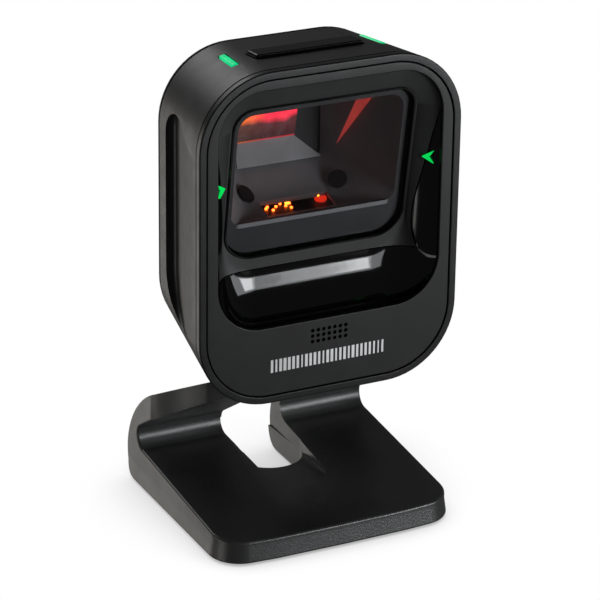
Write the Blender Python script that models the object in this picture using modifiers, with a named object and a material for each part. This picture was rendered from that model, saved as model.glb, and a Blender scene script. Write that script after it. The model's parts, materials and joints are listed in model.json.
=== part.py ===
"""Hands-free presentation barcode scanner: a rounded reading head that tilts on a bent stand.

Metres, +Z up.  The origin is on the table, under the middle of the object's box.
The window looks along -Y.  Depths in the head (t) are counted from its front face, towards +Y.
"""
import math

import bmesh
import bpy
from mathutils import Euler, Vector

# ---- driving dimensions ------------------------------------------------------------------
HEAD_W = 0.086                 # across the front rim
HEAD_H = 0.105                 # front rim, bottom to top
HEAD_Z = 0.047                 # underside of the front rim above the table
HEAD_T = 0.0393                # front face to the rear edge of the housing
HEAD_R = 0.0232                # corner radius of the front rim
FACE_Y = -0.0252               # front face of the head
SIDE_TAPER = 0.0049            # each side, over HEAD_T
TOP_TAPER = 0.0030
BOTTOM_TAPER = 0.0071
RADIUS_TAPER = 0.0005

RIM_BAND = 0.0024              # rim width seen from the front
RIM_DEPTH = 0.0028
GAP = 0.0003                   # between pieces that touch
BEZEL_T = 0.0014
OPENING_HALF = 0.0367          # opening in the bezel
OPENING_LOW = 0.0718
OPENING_HIGH = 0.1463
OPENING_R = 0.0145

PANE_HALF = 0.0295             # scan window
PANE_LOW = 0.0904
PANE_HIGH = 0.1393
PANE_T_LOW = 0.0122            # depth of its lower and upper edges
PANE_T_HIGH = 0.0044
PANE_R_LOW = 0.0090
PANE_R_HIGH = 0.0060
PANE_THICK = 0.0012

BASE_W = 0.081
BASE_FRONT_Y = -0.0373
BASE_CORNER_R = 0.0105
SHELL_Z = 0.0008               # underside of the stand, above the table
CABLE_HALF = 0.0103            # half width of the U-shaped cable opening
CABLE_FRONT_Y = 0.0044

AXIS_T = 0.0130                # tilt axis
AXIS_Z = 0.0515
KNUCKLE_R = 0.0046
KNUCKLE_HALF = 0.0150
PIN_R = 0.0016

BUTTON_HALF = 0.0178
BUTTON_T = (0.0155, 0.0224)
BUTTON_TOP_Z = 0.1517

CORNER_STEPS = 8

AXIS_Y = FACE_Y + AXIS_T


# ---- scene, collections, materials -------------------------------------------------------
def clear_scene():
    for obj in list(bpy.data.objects):
        bpy.data.objects.remove(obj, do_unlink=True)


def collection(name):
    coll = bpy.data.collections.new(name)
    bpy.context.scene.collection.children.link(coll)
    return coll


def material(name, colour, roughness, metallic=0.0, alpha=1.0, glow=None):
    mat = bpy.data.materials.new(name)
    mat.use_nodes = True
    shader = mat.node_tree.nodes["Principled BSDF"]
    shader.inputs["Base Color"].default_value = (*colour, 1.0)
    shader.inputs["Roughness"].default_value = roughness
    shader.inputs["Metallic"].default_value = metallic
    shader.inputs["Alpha"].default_value = alpha
    if glow:
        shader.inputs["Emission Color"].default_value = (*glow, 1.0)
        shader.inputs["Emission Strength"].default_value = 2.0
    return mat


def finish(obj, mat, parent=None, smooth_angle=None):
    """Give a finished piece its material, its parent and its shading."""
    obj.data.materials.clear()
    obj.data.materials.append(mat)
    if smooth_angle:
        obj.data.shade_smooth()
        obj.data.set_sharp_from_angle(angle=math.radians(smooth_angle))
    if parent:
        obj.parent = parent
        obj.matrix_parent_inverse = parent.matrix_world.inverted()
    return obj


# ---- meshes ------------------------------------------------------------------------------
def object_from_bmesh(name, bm, coll):
    mesh = bpy.data.meshes.new(name)
    bm.to_mesh(mesh)
    bm.free()
    obj = bpy.data.objects.new(name, mesh)
    coll.objects.link(obj)
    return obj


def box(name, low, high, coll):
    """A box between two corners."""
    bm = bmesh.new()
    bmesh.ops.create_cube(bm, size=1.0)
    size = Vector(high) - Vector(low)
    bmesh.ops.scale(bm, vec=size, verts=bm.verts)
    obj = object_from_bmesh(name, bm, coll)
    obj.location = (Vector(low) + Vector(high)) / 2
    return obj


TURNS = {"X": (0, math.pi / 2, 0), "Y": (math.pi / 2, 0, 0), "Z": (0, 0, 0)}


def cylinder(name, radius, length, centre, axis, coll, sides=20, end_radius=None):
    """A cylinder or a cone along X, Y or Z."""
    bm = bmesh.new()
    bmesh.ops.create_cone(bm, cap_ends=True, segments=sides, radius1=radius,
                          radius2=radius if end_radius is None else end_radius, depth=length)
    obj = object_from_bmesh(name, bm, coll)
    obj.rotation_euler = TURNS[axis]
    obj.location = centre
    return obj


FACING = {"flat": (0, 0, 0), "front": (math.pi / 2, 0, 0), "side": (math.pi / 2, 0, math.pi / 2)}


def plate(name, outlines, thickness, centre, facing, coll):
    """A flat outline with holes, extruded, as a mesh.

    facing: "flat" lies in XY, "front" stands in XZ, "side" stands in YZ.
    """
    curve = bpy.data.curves.new(name + "_outline", "CURVE")
    curve.dimensions = "2D"
    curve.fill_mode = "BOTH"
    curve.extrude = thickness / 2
    for outline in outlines:
        spline = curve.splines.new("POLY")
        spline.points.add(len(outline) - 1)
        for point, (u, v) in zip(spline.points, outline):
            point.co = (u, v, 0.0, 1.0)
        spline.use_cyclic_u = True
    shape = bpy.data.objects.new(name + "_outline", curve)
    coll.objects.link(shape)
    graph = bpy.context.evaluated_depsgraph_get()
    mesh = bpy.data.meshes.new_from_object(shape.evaluated_get(graph))
    bpy.data.objects.remove(shape)
    bm = bmesh.new()
    bm.from_mesh(mesh)
    bmesh.ops.remove_doubles(bm, verts=bm.verts, dist=0.000001)
    bmesh.ops.recalc_face_normals(bm, faces=bm.faces)
    bm.to_mesh(mesh)
    bm.free()
    mesh.name = name
    obj = bpy.data.objects.new(name, mesh)
    coll.objects.link(obj)
    obj.rotation_euler = FACING[facing]
    obj.location = centre
    return obj


def loft(name, rings, coll, cap_front=True, cap_back=True, closed=True):
    """Skin a list of equal rings; an open skin faces inwards, towards the front."""
    bm = bmesh.new()
    loops = [[bm.verts.new(point) for point in ring] for ring in rings]
    count = len(rings[0])
    for near, far in zip(loops, loops[1:]):
        for i in range(count):
            j = (i + 1) % count
            bm.faces.new((near[i], near[j], far[j], far[i]))
    if cap_front:
        bm.faces.new(loops[0])
    if cap_back:
        bm.faces.new(list(reversed(loops[-1])))
    if closed:
        bmesh.ops.recalc_face_normals(bm, faces=bm.faces)
    return object_from_bmesh(name, bm, coll)


def cut(obj, cutter, operation="DIFFERENCE"):
    """Cut obj with a cutter, join it to one, or keep only what is inside it."""
    modifier = obj.modifiers.new(cutter.name, "BOOLEAN")
    modifier.operation = operation
    modifier.solver = "EXACT"
    modifier.object = cutter
    cutter.hide_render = True
    cutter.display_type = "WIRE"


def thicken(obj, thickness):
    """Turn an open skin into a wall, on the side its faces point away from."""
    modifier = obj.modifiers.new("wall", "SOLIDIFY")
    modifier.thickness = thickness
    modifier.offset = -1.0
    modifier.use_even_offset = True


# ---- outlines ----------------------------------------------------------------------------
def arc(centre, radius, start, end, steps):
    """Points on an arc, angles in degrees, both ends included."""
    points = []
    for i in range(steps + 1):
        angle = math.radians(start + (end - start) * i / steps)
        points.append((centre[0] + radius * math.cos(angle), centre[1] + radius * math.sin(angle)))
    return points


def bezier(p0, p1, p2, p3, steps):
    """Points on a cubic curve, both ends included."""
    points = []
    for i in range(steps + 1):
        s = i / steps
        weights = ((1 - s) ** 3, 3 * s * (1 - s) ** 2, 3 * s * s * (1 - s), s ** 3)
        points.append(tuple(sum(w * p[k] for w, p in zip(weights, (p0, p1, p2, p3)))
                            for k in (0, 1)))
    return points


def rounded_outline(half, low, high, r_low, r_high, steps=CORNER_STEPS):
    """A rounded rectangle in (x, z), anticlockwise from its lower right corner."""
    points = arc((half - r_low, low + r_low), r_low, -90, 0, steps)
    points += arc((half - r_high, high - r_high), r_high, 0, 90, steps)
    points += arc((-half + r_high, high - r_high), r_high, 90, 180, steps)
    points += arc((-half + r_low, low + r_low), r_low, 180, 270, steps)
    return points


def ring(half, low, high, r_low, r_high, t_low, t_high, steps=CORNER_STEPS):
    """A rounded rectangle in the head, leaning from depth t_low at its foot to t_high."""
    points = []
    for x, z in rounded_outline(half, low, high, r_low, r_high, steps):
        share = (z - low) / (high - low)
        points.append((x, FACE_Y + t_low + (t_high - t_low) * share, z))
    return points


def head_bounds(t):
    """Half width, lowest, highest and corner radius of the head's outside at depth t."""
    share = t / HEAD_T
    half = HEAD_W / 2 - SIDE_TAPER * share
    low = HEAD_Z + BOTTOM_TAPER * share
    high = HEAD_Z + HEAD_H - TOP_TAPER * share
    return half, low, high, HEAD_R - RADIUS_TAPER * share


def head_ring(t, inset=0.0, steps=CORNER_STEPS):
    half, low, high, radius = head_bounds(t)
    radius = radius - inset
    return ring(half - inset, low + inset, high - inset, radius, radius, t, t, steps)


def pane_t(z):
    """Depth of the window's plane at height z."""
    share = (z - PANE_LOW) / (PANE_HIGH - PANE_LOW)
    return PANE_T_LOW + (PANE_T_HIGH - PANE_T_LOW) * share


# ---- stand -------------------------------------------------------------------------------
def stand_profile():
    """Side view of the bent plate in (y, z), from the front foot, round the bend, to the arm."""
    under = SHELL_Z
    points = [(BASE_FRONT_Y, under)]
    points += bezier((0.0310, under), (0.0355, under), (0.0373, 0.0048), (0.0373, 0.0100), 5)
    points += bezier((0.0373, 0.0100), (0.0373, 0.0195), (0.0292, 0.0305), (0.0167, 0.0363), 9)[1:]
    points += [(-0.0092, 0.0502), (-0.0124, 0.0500), (-0.0128, 0.0474), (-0.0032, 0.0404)]
    points += arc((0.0249, 0.0174), 0.0041, 59, -85, 8)
    points += [(BASE_FRONT_Y, 0.0077)]
    return points


def base_plan():
    """Plan of the base: round front corners and a slightly bowed front."""
    half = BASE_W / 2
    radius = BASE_CORNER_R
    bow = 0.0008
    shoulder_y = BASE_FRONT_Y + bow
    points = [(half, 0.06), (-half, 0.06)]
    points += arc((-half + radius, shoulder_y + radius), radius, 180, 264, 7)
    for i in range(1, 8):
        x = (half - radius) * (i / 4 - 1)
        points.append((x, shoulder_y - bow * (1 - (x / half) ** 2)))
    points += arc((half - radius, shoulder_y + radius), radius, 276, 360, 7)
    return points


def bullet(half, nose_y, back_y, nose_half=None, steps=10):
    """A slot outline open at the back, with a round nose at nose_y."""
    nose = nose_half or half
    return [(half, back_y), (-half, back_y)] + arc((0, nose_y + nose), nose, 180, 360, steps)


def make_stand_shell(coll, cutters, mat, parent):
    shell = plate("stand_shell", [stand_profile()], BASE_W, (0, 0, 0), "side", coll)
    plan = plate("cut_base_plan", [base_plan()], 0.14, (0, 0, 0.04), "flat", cutters)
    cut(shell, plan, "INTERSECT")
    knuckle = cylinder("add_knuckle", KNUCKLE_R, 2 * KNUCKLE_HALF, (0, AXIS_Y, AXIS_Z), "X",
                       cutters, sides=24)
    cut(shell, knuckle, "UNION")
    for side, sign in (("left", -1), ("right", 1)):
        flank = [(0.0450, 0.0170), (0.0405, 0.0170), (0.0290, -0.0030), (0.0180, -0.0068),
                 (KNUCKLE_HALF, -0.0080), (KNUCKLE_HALF, -0.0200), (0.0450, -0.0200)]
        outline = [(sign * x, y) for x, y in flank]
        wedge = plate("cut_arm_" + side, [outline], 0.040, (0, 0, 0.0470), "flat", cutters)
        cut(shell, wedge)
    slot = plate("cut_cable_opening", [bullet(CABLE_HALF, CABLE_FRONT_Y, 0.05)], 0.12,
                 (0, 0, 0.03), "flat", cutters)
    cut(shell, slot)
    trough = plate("cut_trough", [bullet(0.0100, -0.0130, 0.04, 0.0080)], 0.010,
                   (0, 0.0045, 0.01485), "flat", cutters)
    trough.rotation_euler = (math.radians(-2.2), 0, 0)
    cut(shell, trough)
    pocket = plate("cut_ballast_pocket",
                   [rounded_outline(0.0360, -0.0332, 0.0012, 0.008, 0.003, 4)], 0.0060,
                   (0, 0, 0.0022), "flat", cutters)
    cut(shell, pocket)
    for i, (x, y) in enumerate(COVER_SCREWS):
        hole = cylinder("cut_cover_screw_%d" % (i + 1), 0.0012, 0.0040, (x, y, 0.0052), "Z",
                        cutters, sides=10)
        cut(shell, hole)
    for i, x in enumerate((-0.0290, 0.0290)):
        recess = cylinder("cut_foot_recess_%d" % (i + 1), 0.0053, 0.0040,
                          (x, REAR_FOOT_Y, -0.0005), "Z", cutters, sides=20)
        cut(shell, recess)
    bore = cylinder("cut_knuckle_bore", PIN_R + GAP, 0.05, (0, AXIS_Y, AXIS_Z), "X", cutters,
                    sides=16)
    cut(shell, bore)
    return finish(shell, mat, parent, 30)


COVER_SCREWS = ((-0.0310, -0.0060), (0.0310, -0.0060), (-0.0120, -0.0285), (0.0120, -0.0285))
REAR_FOOT_Y = 0.0200
FRONT_FEET = ((-0.0280, -0.0260), (0.0280, -0.0260))


def make_base_inside(coll, cutters, mats, parent):
    """Ballast plate, bottom cover, its screws and the four feet."""
    clearance = 0.0016
    ballast = plate("ballast_plate",
                    [rounded_outline(0.0345, -0.0317, -0.0003, 0.006, 0.002, 3)]
                    + [arc(c, clearance, 0, 324, 9) for c in COVER_SCREWS],
                    0.0018, (0, 0, 0.0039), "flat", coll)
    finish(ballast, mats["steel"], parent)
    cover = plate("base_cover",
                  [rounded_outline(0.0357, -0.0329, 0.0009, 0.0077, 0.0027, 4)]
                  + [arc(c, 0.0012, 0, 324, 9) for c in COVER_SCREWS],
                  0.0012, (0, 0, 0.0021), "flat", coll)
    finish(cover, mats["stand"], parent)
    for i, (x, y) in enumerate(COVER_SCREWS):
        head = cylinder("base_screw_%d" % (i + 1), 0.0018, 0.0007, (x, y, 0.00085), "Z", coll,
                        sides=14)
        shank = cylinder("add_base_screw_shank_%d" % (i + 1), 0.0009, 0.0058,
                         (x, y, 0.0038), "Z", cutters, sides=10)
        cut(head, shank, "UNION")
        finish(head, mats["screw"], parent)
    feet = {"foot_rear_left": (-0.0290, REAR_FOOT_Y), "foot_rear_right": (0.0290, REAR_FOOT_Y),
            "foot_front_left": FRONT_FEET[0], "foot_front_right": FRONT_FEET[1]}
    for name, (x, y) in feet.items():
        foot = cylinder(name, 0.0046, 0.0012, (x, y, 0.0006), "Z", coll, 20, 0.0050)
        finish(foot, mats["rubber"], parent, 40)


def make_hinge_on_stand(coll, mats, parent):
    """Pin, spring washers and clips that stay with the stand."""
    pin = cylinder("hinge_pin", PIN_R, 0.0404, (0, AXIS_Y, AXIS_Z), "X", coll, 16)
    finish(pin, mats["steel"], parent, 40)
    ring_sizes = {"friction_washer": (0.0042, 0.0006, KNUCKLE_HALF + GAP + 0.0003),
                  "pin_clip": (0.0030, 0.0008, KNUCKLE_HALF + 0.0037)}
    for name, (radius, thickness, x) in ring_sizes.items():
        for side, sign in (("left", -1), ("right", 1)):
            washer = plate("%s_%s" % (name, side),
                           [arc((0, 0), radius, 0, 342, 19), arc((0, 0), PIN_R + GAP, 0, 330, 11)],
                           thickness, (sign * x, AXIS_Y, AXIS_Z), "side", coll)
            finish(washer, mats["steel"], parent)


# ---- head shells -------------------------------------------------------------------------
def make_front_rim(coll, cutters, mat, parent):
    rim = loft("front_rim", [head_ring(0.0, 0.0006), head_ring(0.0006), head_ring(RIM_DEPTH)],
               coll)
    half, low, high, radius = head_bounds(0)
    inner = rounded_outline(half - RIM_BAND, low + RIM_BAND, high - RIM_BAND, radius - RIM_BAND,
                            radius - RIM_BAND)
    cut(rim, plate("cut_rim_hole", [inner], 0.02, (0, FACE_Y, 0), "front", cutters))
    return finish(rim, mat, parent, 35)


def grille_holes():
    """Speaker grille: seven columns and three rows of small holes."""
    pitch_x, pitch_z = 0.00186, 0.00178
    holes = []
    for column in range(7):
        for row in range(3):
            centre = ((column - 3) * pitch_x, 0.0666 + (row - 1) * pitch_z)
            holes.append(arc(centre, 0.00058, 0, 315, 7))
    return holes


def make_front_bezel(coll, mat, parent):
    inset = RIM_BAND + GAP
    half, low, high, radius = head_bounds(0)
    outer = rounded_outline(half - inset, low + inset, high - inset, radius - inset, radius - inset)
    opening = rounded_outline(OPENING_HALF, OPENING_LOW, OPENING_HIGH, OPENING_R, OPENING_R)
    bezel = plate("front_bezel", [outer, opening] + grille_holes(), BEZEL_T,
                  (0, FACE_Y + 0.0002 + BEZEL_T / 2, 0), "front", coll)
    return finish(bezel, mat, parent)


def recess_outline():
    """Finger recess in the side, in (depth, z): it fades out at the front."""
    points = [(0.0060, 0.0660), (0.0185, 0.0682)]
    points += bezier((0.0185, 0.0682), (0.0262, 0.0705), (0.0325, 0.0745), (0.0328, 0.0830), 5)
    points += bezier((0.0328, 0.1260), (0.0328, 0.1325), (0.0270, 0.1345), (0.0215, 0.1332), 5)
    points += [(0.0060, 0.1265)]
    return points


def make_rear_housing(coll, cutters, mat, parent):
    start = RIM_DEPTH + GAP
    housing = loft("rear_housing", [head_ring(start), head_ring(HEAD_T)], coll)
    wall = 0.0026
    pocket_t = 0.0150
    _, low, high, _ = head_bounds(start)
    pocket = [ring(0.0394, low + wall, high - wall, 0.0178, 0.0178, 0.0, 0.0),
              ring(0.0374, low + wall + 0.002, high - wall - 0.001, 0.0170, 0.0170,
                   pocket_t, pocket_t)]
    cut(housing, loft("cut_front_pocket", pocket, cutters))
    core = []
    for t in (pocket_t - 0.003, HEAD_T + 0.002):
        _, low, high, _ = head_bounds(t)
        core.append(ring(0.0338, low + wall, high - wall, 0.0170, 0.0170, t, t))
    cut(housing, loft("cut_core", core, cutters))
    lean = math.atan(SIDE_TAPER / HEAD_T) + math.atan(0.0030 / 0.0240)
    for side, sign in (("left", -1), ("right", 1)):
        outline = [(t - 0.008, z) for t, z in recess_outline()]
        recess = plate("cut_recess_" + side, [outline], 0.010, (0, 0, 0), "side", cutters)
        recess.data.transform(recess.rotation_euler.to_matrix().to_4x4())
        recess.rotation_euler = (0, 0, sign * lean)
        surface_x = head_bounds(0.008)[0]
        offset = Vector((sign * 0.005, 0, 0))
        offset.rotate(Euler((0, 0, sign * lean)))
        recess.location = Vector((sign * surface_x, FACE_Y + 0.008, 0)) + offset
        cut(housing, recess)
    for i, (x, y) in enumerate(BRACKET_SCREWS):
        boss = cylinder("add_boss_%d" % (i + 1), 0.0026, 0.0070, (x, y, 0.0548), "Z", cutters, 16)
        cut(housing, boss, "UNION")
        hole = cylinder("cut_boss_%d" % (i + 1), 0.0011, 0.0080, (x, y, 0.0582), "Z", cutters, 10)
        cut(housing, hole)
    slot = box("cut_hinge_slot", (-0.0226, FACE_Y + 0.0052, 0.040),
               (0.0226, FACE_Y + 0.0222, 0.0560), cutters)
    cut(housing, slot)
    low_t, high_t = BUTTON_T
    button_slot = box("cut_button_slot", (-BUTTON_HALF - GAP, FACE_Y + low_t - GAP, 0.140),
                      (BUTTON_HALF + GAP, FACE_Y + high_t + GAP, 0.160), cutters)
    cut(housing, button_slot)
    for side, sign in (("left", -1), ("right", 1)):
        cut(housing, guide_block("cut_guide_" + side, sign, 2 * GAP, cutters))
    return finish(housing, mat, parent, 35)


BRACKET_SCREWS = tuple((x, FACE_Y + t) for x in (-0.0258, 0.0258) for t in (0.0085, 0.0175))
COVER_BACK_T = 0.0465


def make_rear_cover(coll, cutters, mats, parent):
    start = HEAD_T + GAP
    rings = [head_ring(start), head_ring(0.0418, 0.0008), head_ring(0.0438, 0.0026),
             head_ring(0.0454, 0.0056), head_ring(COVER_BACK_T, 0.0110)]
    outside = loft("rear_cover", rings, coll)
    inside = [head_ring(start - 0.002, 0.0022), head_ring(0.0420, 0.0034),
              head_ring(0.0434, 0.0058), head_ring(COVER_BACK_T - 0.0020, 0.0112)]
    cut(outside, loft("cut_cover_inside", inside, cutters))
    back_y = FACE_Y + COVER_BACK_T
    for i, (x, z) in enumerate(REAR_SCREWS):
        sink = cylinder("cut_screw_sink_%d" % (i + 1), 0.0027, 0.0030, (x, back_y + 0.0001, z),
                        "Y", cutters, 18)
        cut(outside, sink)
        hole = cylinder("cut_screw_hole_%d" % (i + 1), 0.0014, 0.0080, (x, back_y, z), "Y",
                        cutters, 12)
        cut(outside, hole)
        head = cylinder("rear_screw_%d" % (i + 1), 0.0023, 0.0010, (x, back_y - 0.0006, z), "Y",
                        coll, 18)
        shank = cylinder("add_rear_screw_%d" % (i + 1), 0.0010, 0.0070, (x, back_y - 0.0042, z),
                         "Y", cutters, 10)
        cut(head, shank, "UNION")
        finish(head, mats["screw"], parent)
    mouth = box("cut_socket_mouth", (-SOCKET_HALF - GAP, back_y - 0.01, SOCKET_Z[0] - GAP),
                (SOCKET_HALF + GAP, back_y + 0.01, SOCKET_Z[1] + GAP), cutters)
    cut(outside, mouth)
    return finish(outside, mats["housing"], parent, 35)


REAR_SCREWS = ((-0.0225, 0.0730), (0.0225, 0.0730), (-0.0225, 0.1300), (0.0225, 0.1300))
SOCKET_HALF = 0.0060
SOCKET_Z = (0.0690, 0.0780)


def make_cable_socket(coll, cutters, mat, parent):
    """Modular socket for the data cable, open at the back."""
    back_y = FACE_Y + COVER_BACK_T - 0.0002
    socket = box("cable_socket", (-SOCKET_HALF, back_y - 0.0120, SOCKET_Z[0]),
                 (SOCKET_HALF, back_y, SOCKET_Z[1]), coll)
    mouth = box("cut_socket_inside", (-0.0046, back_y - 0.0100, SOCKET_Z[0] + 0.0014),
                (0.0046, back_y + 0.0050, SOCKET_Z[1] - 0.0022), cutters)
    cut(socket, mouth)
    keyway = box("cut_socket_keyway", (-0.0020, back_y - 0.0070, SOCKET_Z[1] - 0.0040),
                 (0.0020, back_y + 0.0050, SOCKET_Z[1] - 0.0008), cutters)
    cut(socket, keyway)
    return finish(socket, mat, parent)


# ---- scan recess -------------------------------------------------------------------------
DISH_STEPS = 6
DISH_FRONT_T = BEZEL_T + 0.0005
SCOOP_T = 0.0126
SCOOP_TOP_Z = 0.0860


def dish_rings(gap=0.0):
    """Rings of the recess, from the opening in the bezel to the edge of the window.

    Its foot is a quarter-round scoop; its sides and top slope straight in.
    """
    rings = []
    for i in range(DISH_STEPS + 1):
        angle = math.pi / 2 * i / DISH_STEPS
        share = 0.85 * math.sin(angle)
        low = 0.0714 + (SCOOP_TOP_Z - 0.0714) * (1 - math.cos(angle))
        half = 0.0371 + (PANE_HALF - 0.0371) * share
        high = 0.1467 + (PANE_HIGH - 0.1467) * share
        r_low = OPENING_R - 0.0030 * share
        r_high = OPENING_R + (PANE_R_HIGH - OPENING_R) * share
        t_low = DISH_FRONT_T + (SCOOP_T - DISH_FRONT_T) * math.sin(angle)
        t_high = DISH_FRONT_T + (PANE_T_HIGH - DISH_FRONT_T) * share
        rings.append(ring(half, low, high, r_low, r_high, t_low, t_high))
    rings.append(ring(PANE_HALF + gap, PANE_LOW - gap, PANE_HIGH + gap, PANE_R_LOW, PANE_R_HIGH,
                      pane_t(PANE_LOW), pane_t(PANE_HIGH)))
    return rings


def shield_outline(grow):
    """Outline of the matte surround in (x, z): wide at the top, waisted beside the window."""
    half = [(0.0330, 0.0861), (0.0313, 0.0990), (0.0340, 0.1180), (0.0372, 0.1340),
            (0.0400, 0.1400), (0.0400, 0.1520)]
    right = [(x + grow, z - (grow if i == 0 else 0)) for i, (x, z) in enumerate(half)]
    return right + [(-x, z) for x, z in reversed(right)]


def make_dish(coll, cutters, mats, parent):
    """The recess: a glossy scoop and, over it, the matte surround of the window."""
    for name, mat, grow, operation in (("scoop_liner", "gloss", GAP, "DIFFERENCE"),
                                       ("window_frame", "matte", 0.0, "INTERSECT")):
        dish = loft(name, dish_rings(0.0003), coll, False, False, closed=False)
        thicken(dish, 0.0014)
        shield = plate("cut_shield_" + name, [shield_outline(grow)], 0.05,
                       (0, FACE_Y + 0.01, 0), "front", cutters)
        cut(dish, shield, operation)
        finish(dish, mats[mat], parent, 35)


def make_scan_window(coll, mat, parent):
    front = ring(PANE_HALF, PANE_LOW, PANE_HIGH, PANE_R_LOW, PANE_R_HIGH, PANE_T_LOW, PANE_T_HIGH)
    back = [(x, y + PANE_THICK, z) for x, y, z in front]
    pane = loft("scan_window", [front, back], coll)
    return finish(pane, mat, parent, 35)


# ---- optics ------------------------------------------------------------------------------
CHAMBER_BACK_T = 0.0370
CHAMBER_FLOOR_Z = 0.1012


def chamber_rings():
    """The light box behind the window: a bowl-shaped floor that climbs to the back."""
    low_t = pane_t(CHAMBER_FLOOR_Z) + 0.0018
    high_t = pane_t(0.1370) + 0.0018
    rings = [ring(0.0272, CHAMBER_FLOOR_Z, 0.1370, 0.0030, 0.0050, low_t, high_t, 4)]
    for t, half, low, high, r_low in ((0.0190, 0.0230, 0.0995, 0.1345, 0.0080),
                                      (0.0258, 0.0200, 0.1010, 0.1330, 0.0090),
                                      (CHAMBER_BACK_T, 0.0146, 0.1088, 0.1300, 0.0020)):
        rings.append(ring(half, low, high, r_low, 0.0020, t, t, 4))
    return rings


def make_optics(coll, cutters, mats, parent):
    chamber = loft("light_box", chamber_rings(), coll, False, False, closed=False)
    thicken(chamber, 0.0012)
    port = box("cut_lens_port", (-0.0115, FACE_Y + 0.0190, 0.095),
               (0.0115, FACE_Y + 0.0262, 0.108), cutters)
    cut(chamber, port)
    finish(chamber, mats["matte"], parent, 35)

    back = box("light_box_back", (-0.0156, FACE_Y + CHAMBER_BACK_T + 0.0010, 0.1078),
               (0.0156, FACE_Y + CHAMBER_BACK_T + 0.0022, 0.1310), coll)
    finish(back, mats["matte"], parent)

    mirror = box("fold_mirror", (-0.0100, -0.0005, -0.0055), (0.0100, 0.0005, 0.0055), coll)
    mirror.location = (0, FACE_Y + 0.0325, 0.1215)
    mirror.rotation_euler = (math.radians(-38), 0, 0)
    finish(mirror, mats["mirror"], parent)

    for side, sign in (("left", -1), ("right", 1)):
        disc = cylinder("port_plug_" + side, 0.0030, 0.0008, (0, 0, 0), "Z", coll, 20)
        disc.location = (sign * 0.0154, FACE_Y + 0.0265, 0.1045)
        facing = Vector((-sign * 0.45, -0.50, 0.74))
        disc.rotation_euler = facing.to_track_quat("Z", "Y").to_euler()
        finish(disc, mats["socket"], parent)

    lens_c = (0.0, FACE_Y + 0.0225)
    board = plate("lamp_board", [rounded_outline(0.0130, FACE_Y + 0.0175, FACE_Y + 0.0280,
                                                 0.001, 0.001, 2),
                                 arc(lens_c, 0.0036, 0, 342, 19)],
                  0.0010, (0, 0, 0.0955), "flat", coll)
    finish(board, mats["board"], parent)
    for side, sign in (("left", -1), ("right", 1)):
        x = sign * 0.0075
        lamp = box("red_lamp_" + side, (x - 0.0018, lens_c[1] - 0.0018, 0.0963),
                   (x + 0.0018, lens_c[1] + 0.0018, 0.0975), coll)
        finish(lamp, mats["lamp"], parent)
    lens = cylinder("lens_barrel", 0.0032, 0.0072, (0, lens_c[1], 0.0932), "Z", coll, 20)
    bore = cylinder("cut_lens_bore", 0.0020, 0.0030, (0, lens_c[1], 0.0965), "Z", cutters, 16)
    cut(lens, bore)
    finish(lens, mats["gloss"], parent, 40)
    camera = box("camera_board", (-0.0100, FACE_Y + 0.0172, 0.0880),
                 (0.0100, FACE_Y + 0.0280, 0.0892), coll)
    finish(camera, mats["board"], parent)


def make_electronics(coll, mats, parent):
    """Boards, decoder chip, speaker and the switch under the button."""
    board = box("main_board", (-0.0290, FACE_Y + 0.0300, 0.0620),
                (0.0290, FACE_Y + 0.0316, 0.0990), coll)
    finish(board, mats["board"], parent)
    chip = box("decoder_chip", (-0.0060, FACE_Y + 0.0319, 0.0830),
               (0.0060, FACE_Y + 0.0331, 0.0950), coll)
    finish(chip, mats["socket"], parent)
    speaker = box("speaker", (-0.0090, FACE_Y + 0.0030, 0.0612),
                  (0.0090, FACE_Y + 0.0064, 0.0692), coll)
    finish(speaker, mats["socket"], parent)
    top_board = box("switch_board", (-0.0210, FACE_Y + 0.0120, 0.1406),
                    (0.0210, FACE_Y + 0.0260, 0.1418), coll)
    finish(top_board, mats["board"], parent)
    switch = box("button_switch", (-0.0030, FACE_Y + 0.0160, 0.1421),
                 (0.0030, FACE_Y + 0.0220, 0.1440), coll)
    finish(switch, mats["socket"], parent)


def guide_block(name, sign, grow, coll):
    """Bar of the green light guide, laid along the shoulder of the housing."""
    x, t, z = 0.0229, 0.0204, 0.14835
    half = Vector((0.0011 + grow / 2, 0.0062 + grow / 2, 0.0016 + grow))
    guide = box(name, -half, half, coll)
    guide.location = (sign * x, FACE_Y + t, z)
    roll = sign * math.radians(13.6)
    yaw = sign * math.radians(5.0)
    pitch = -math.atan(TOP_TAPER / HEAD_T)
    guide.rotation_euler = (pitch, roll, yaw)
    return guide


def make_lights(coll, mats, parent):
    """Green bars on the shoulders and a green arrow lens at each side of the window."""
    for side, sign in (("left", -1), ("right", 1)):
        finish(guide_block("light_guide_" + side, sign, 0.0, coll), mats["green"], parent)
        arrow = [(sign * u, v) for u, v in ((-0.0017, 0.0), (0.0017, -0.0021), (0.0017, 0.0021))]
        lens = plate("arrow_lens_" + side, [arrow], 0.0008,
                     (sign * 0.0339, FACE_Y + 0.0038, 0.1165), "front", coll)
        lens.rotation_euler = (math.radians(90), 0, sign * math.radians(-38))
        finish(lens, mats["green"], parent)


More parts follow.
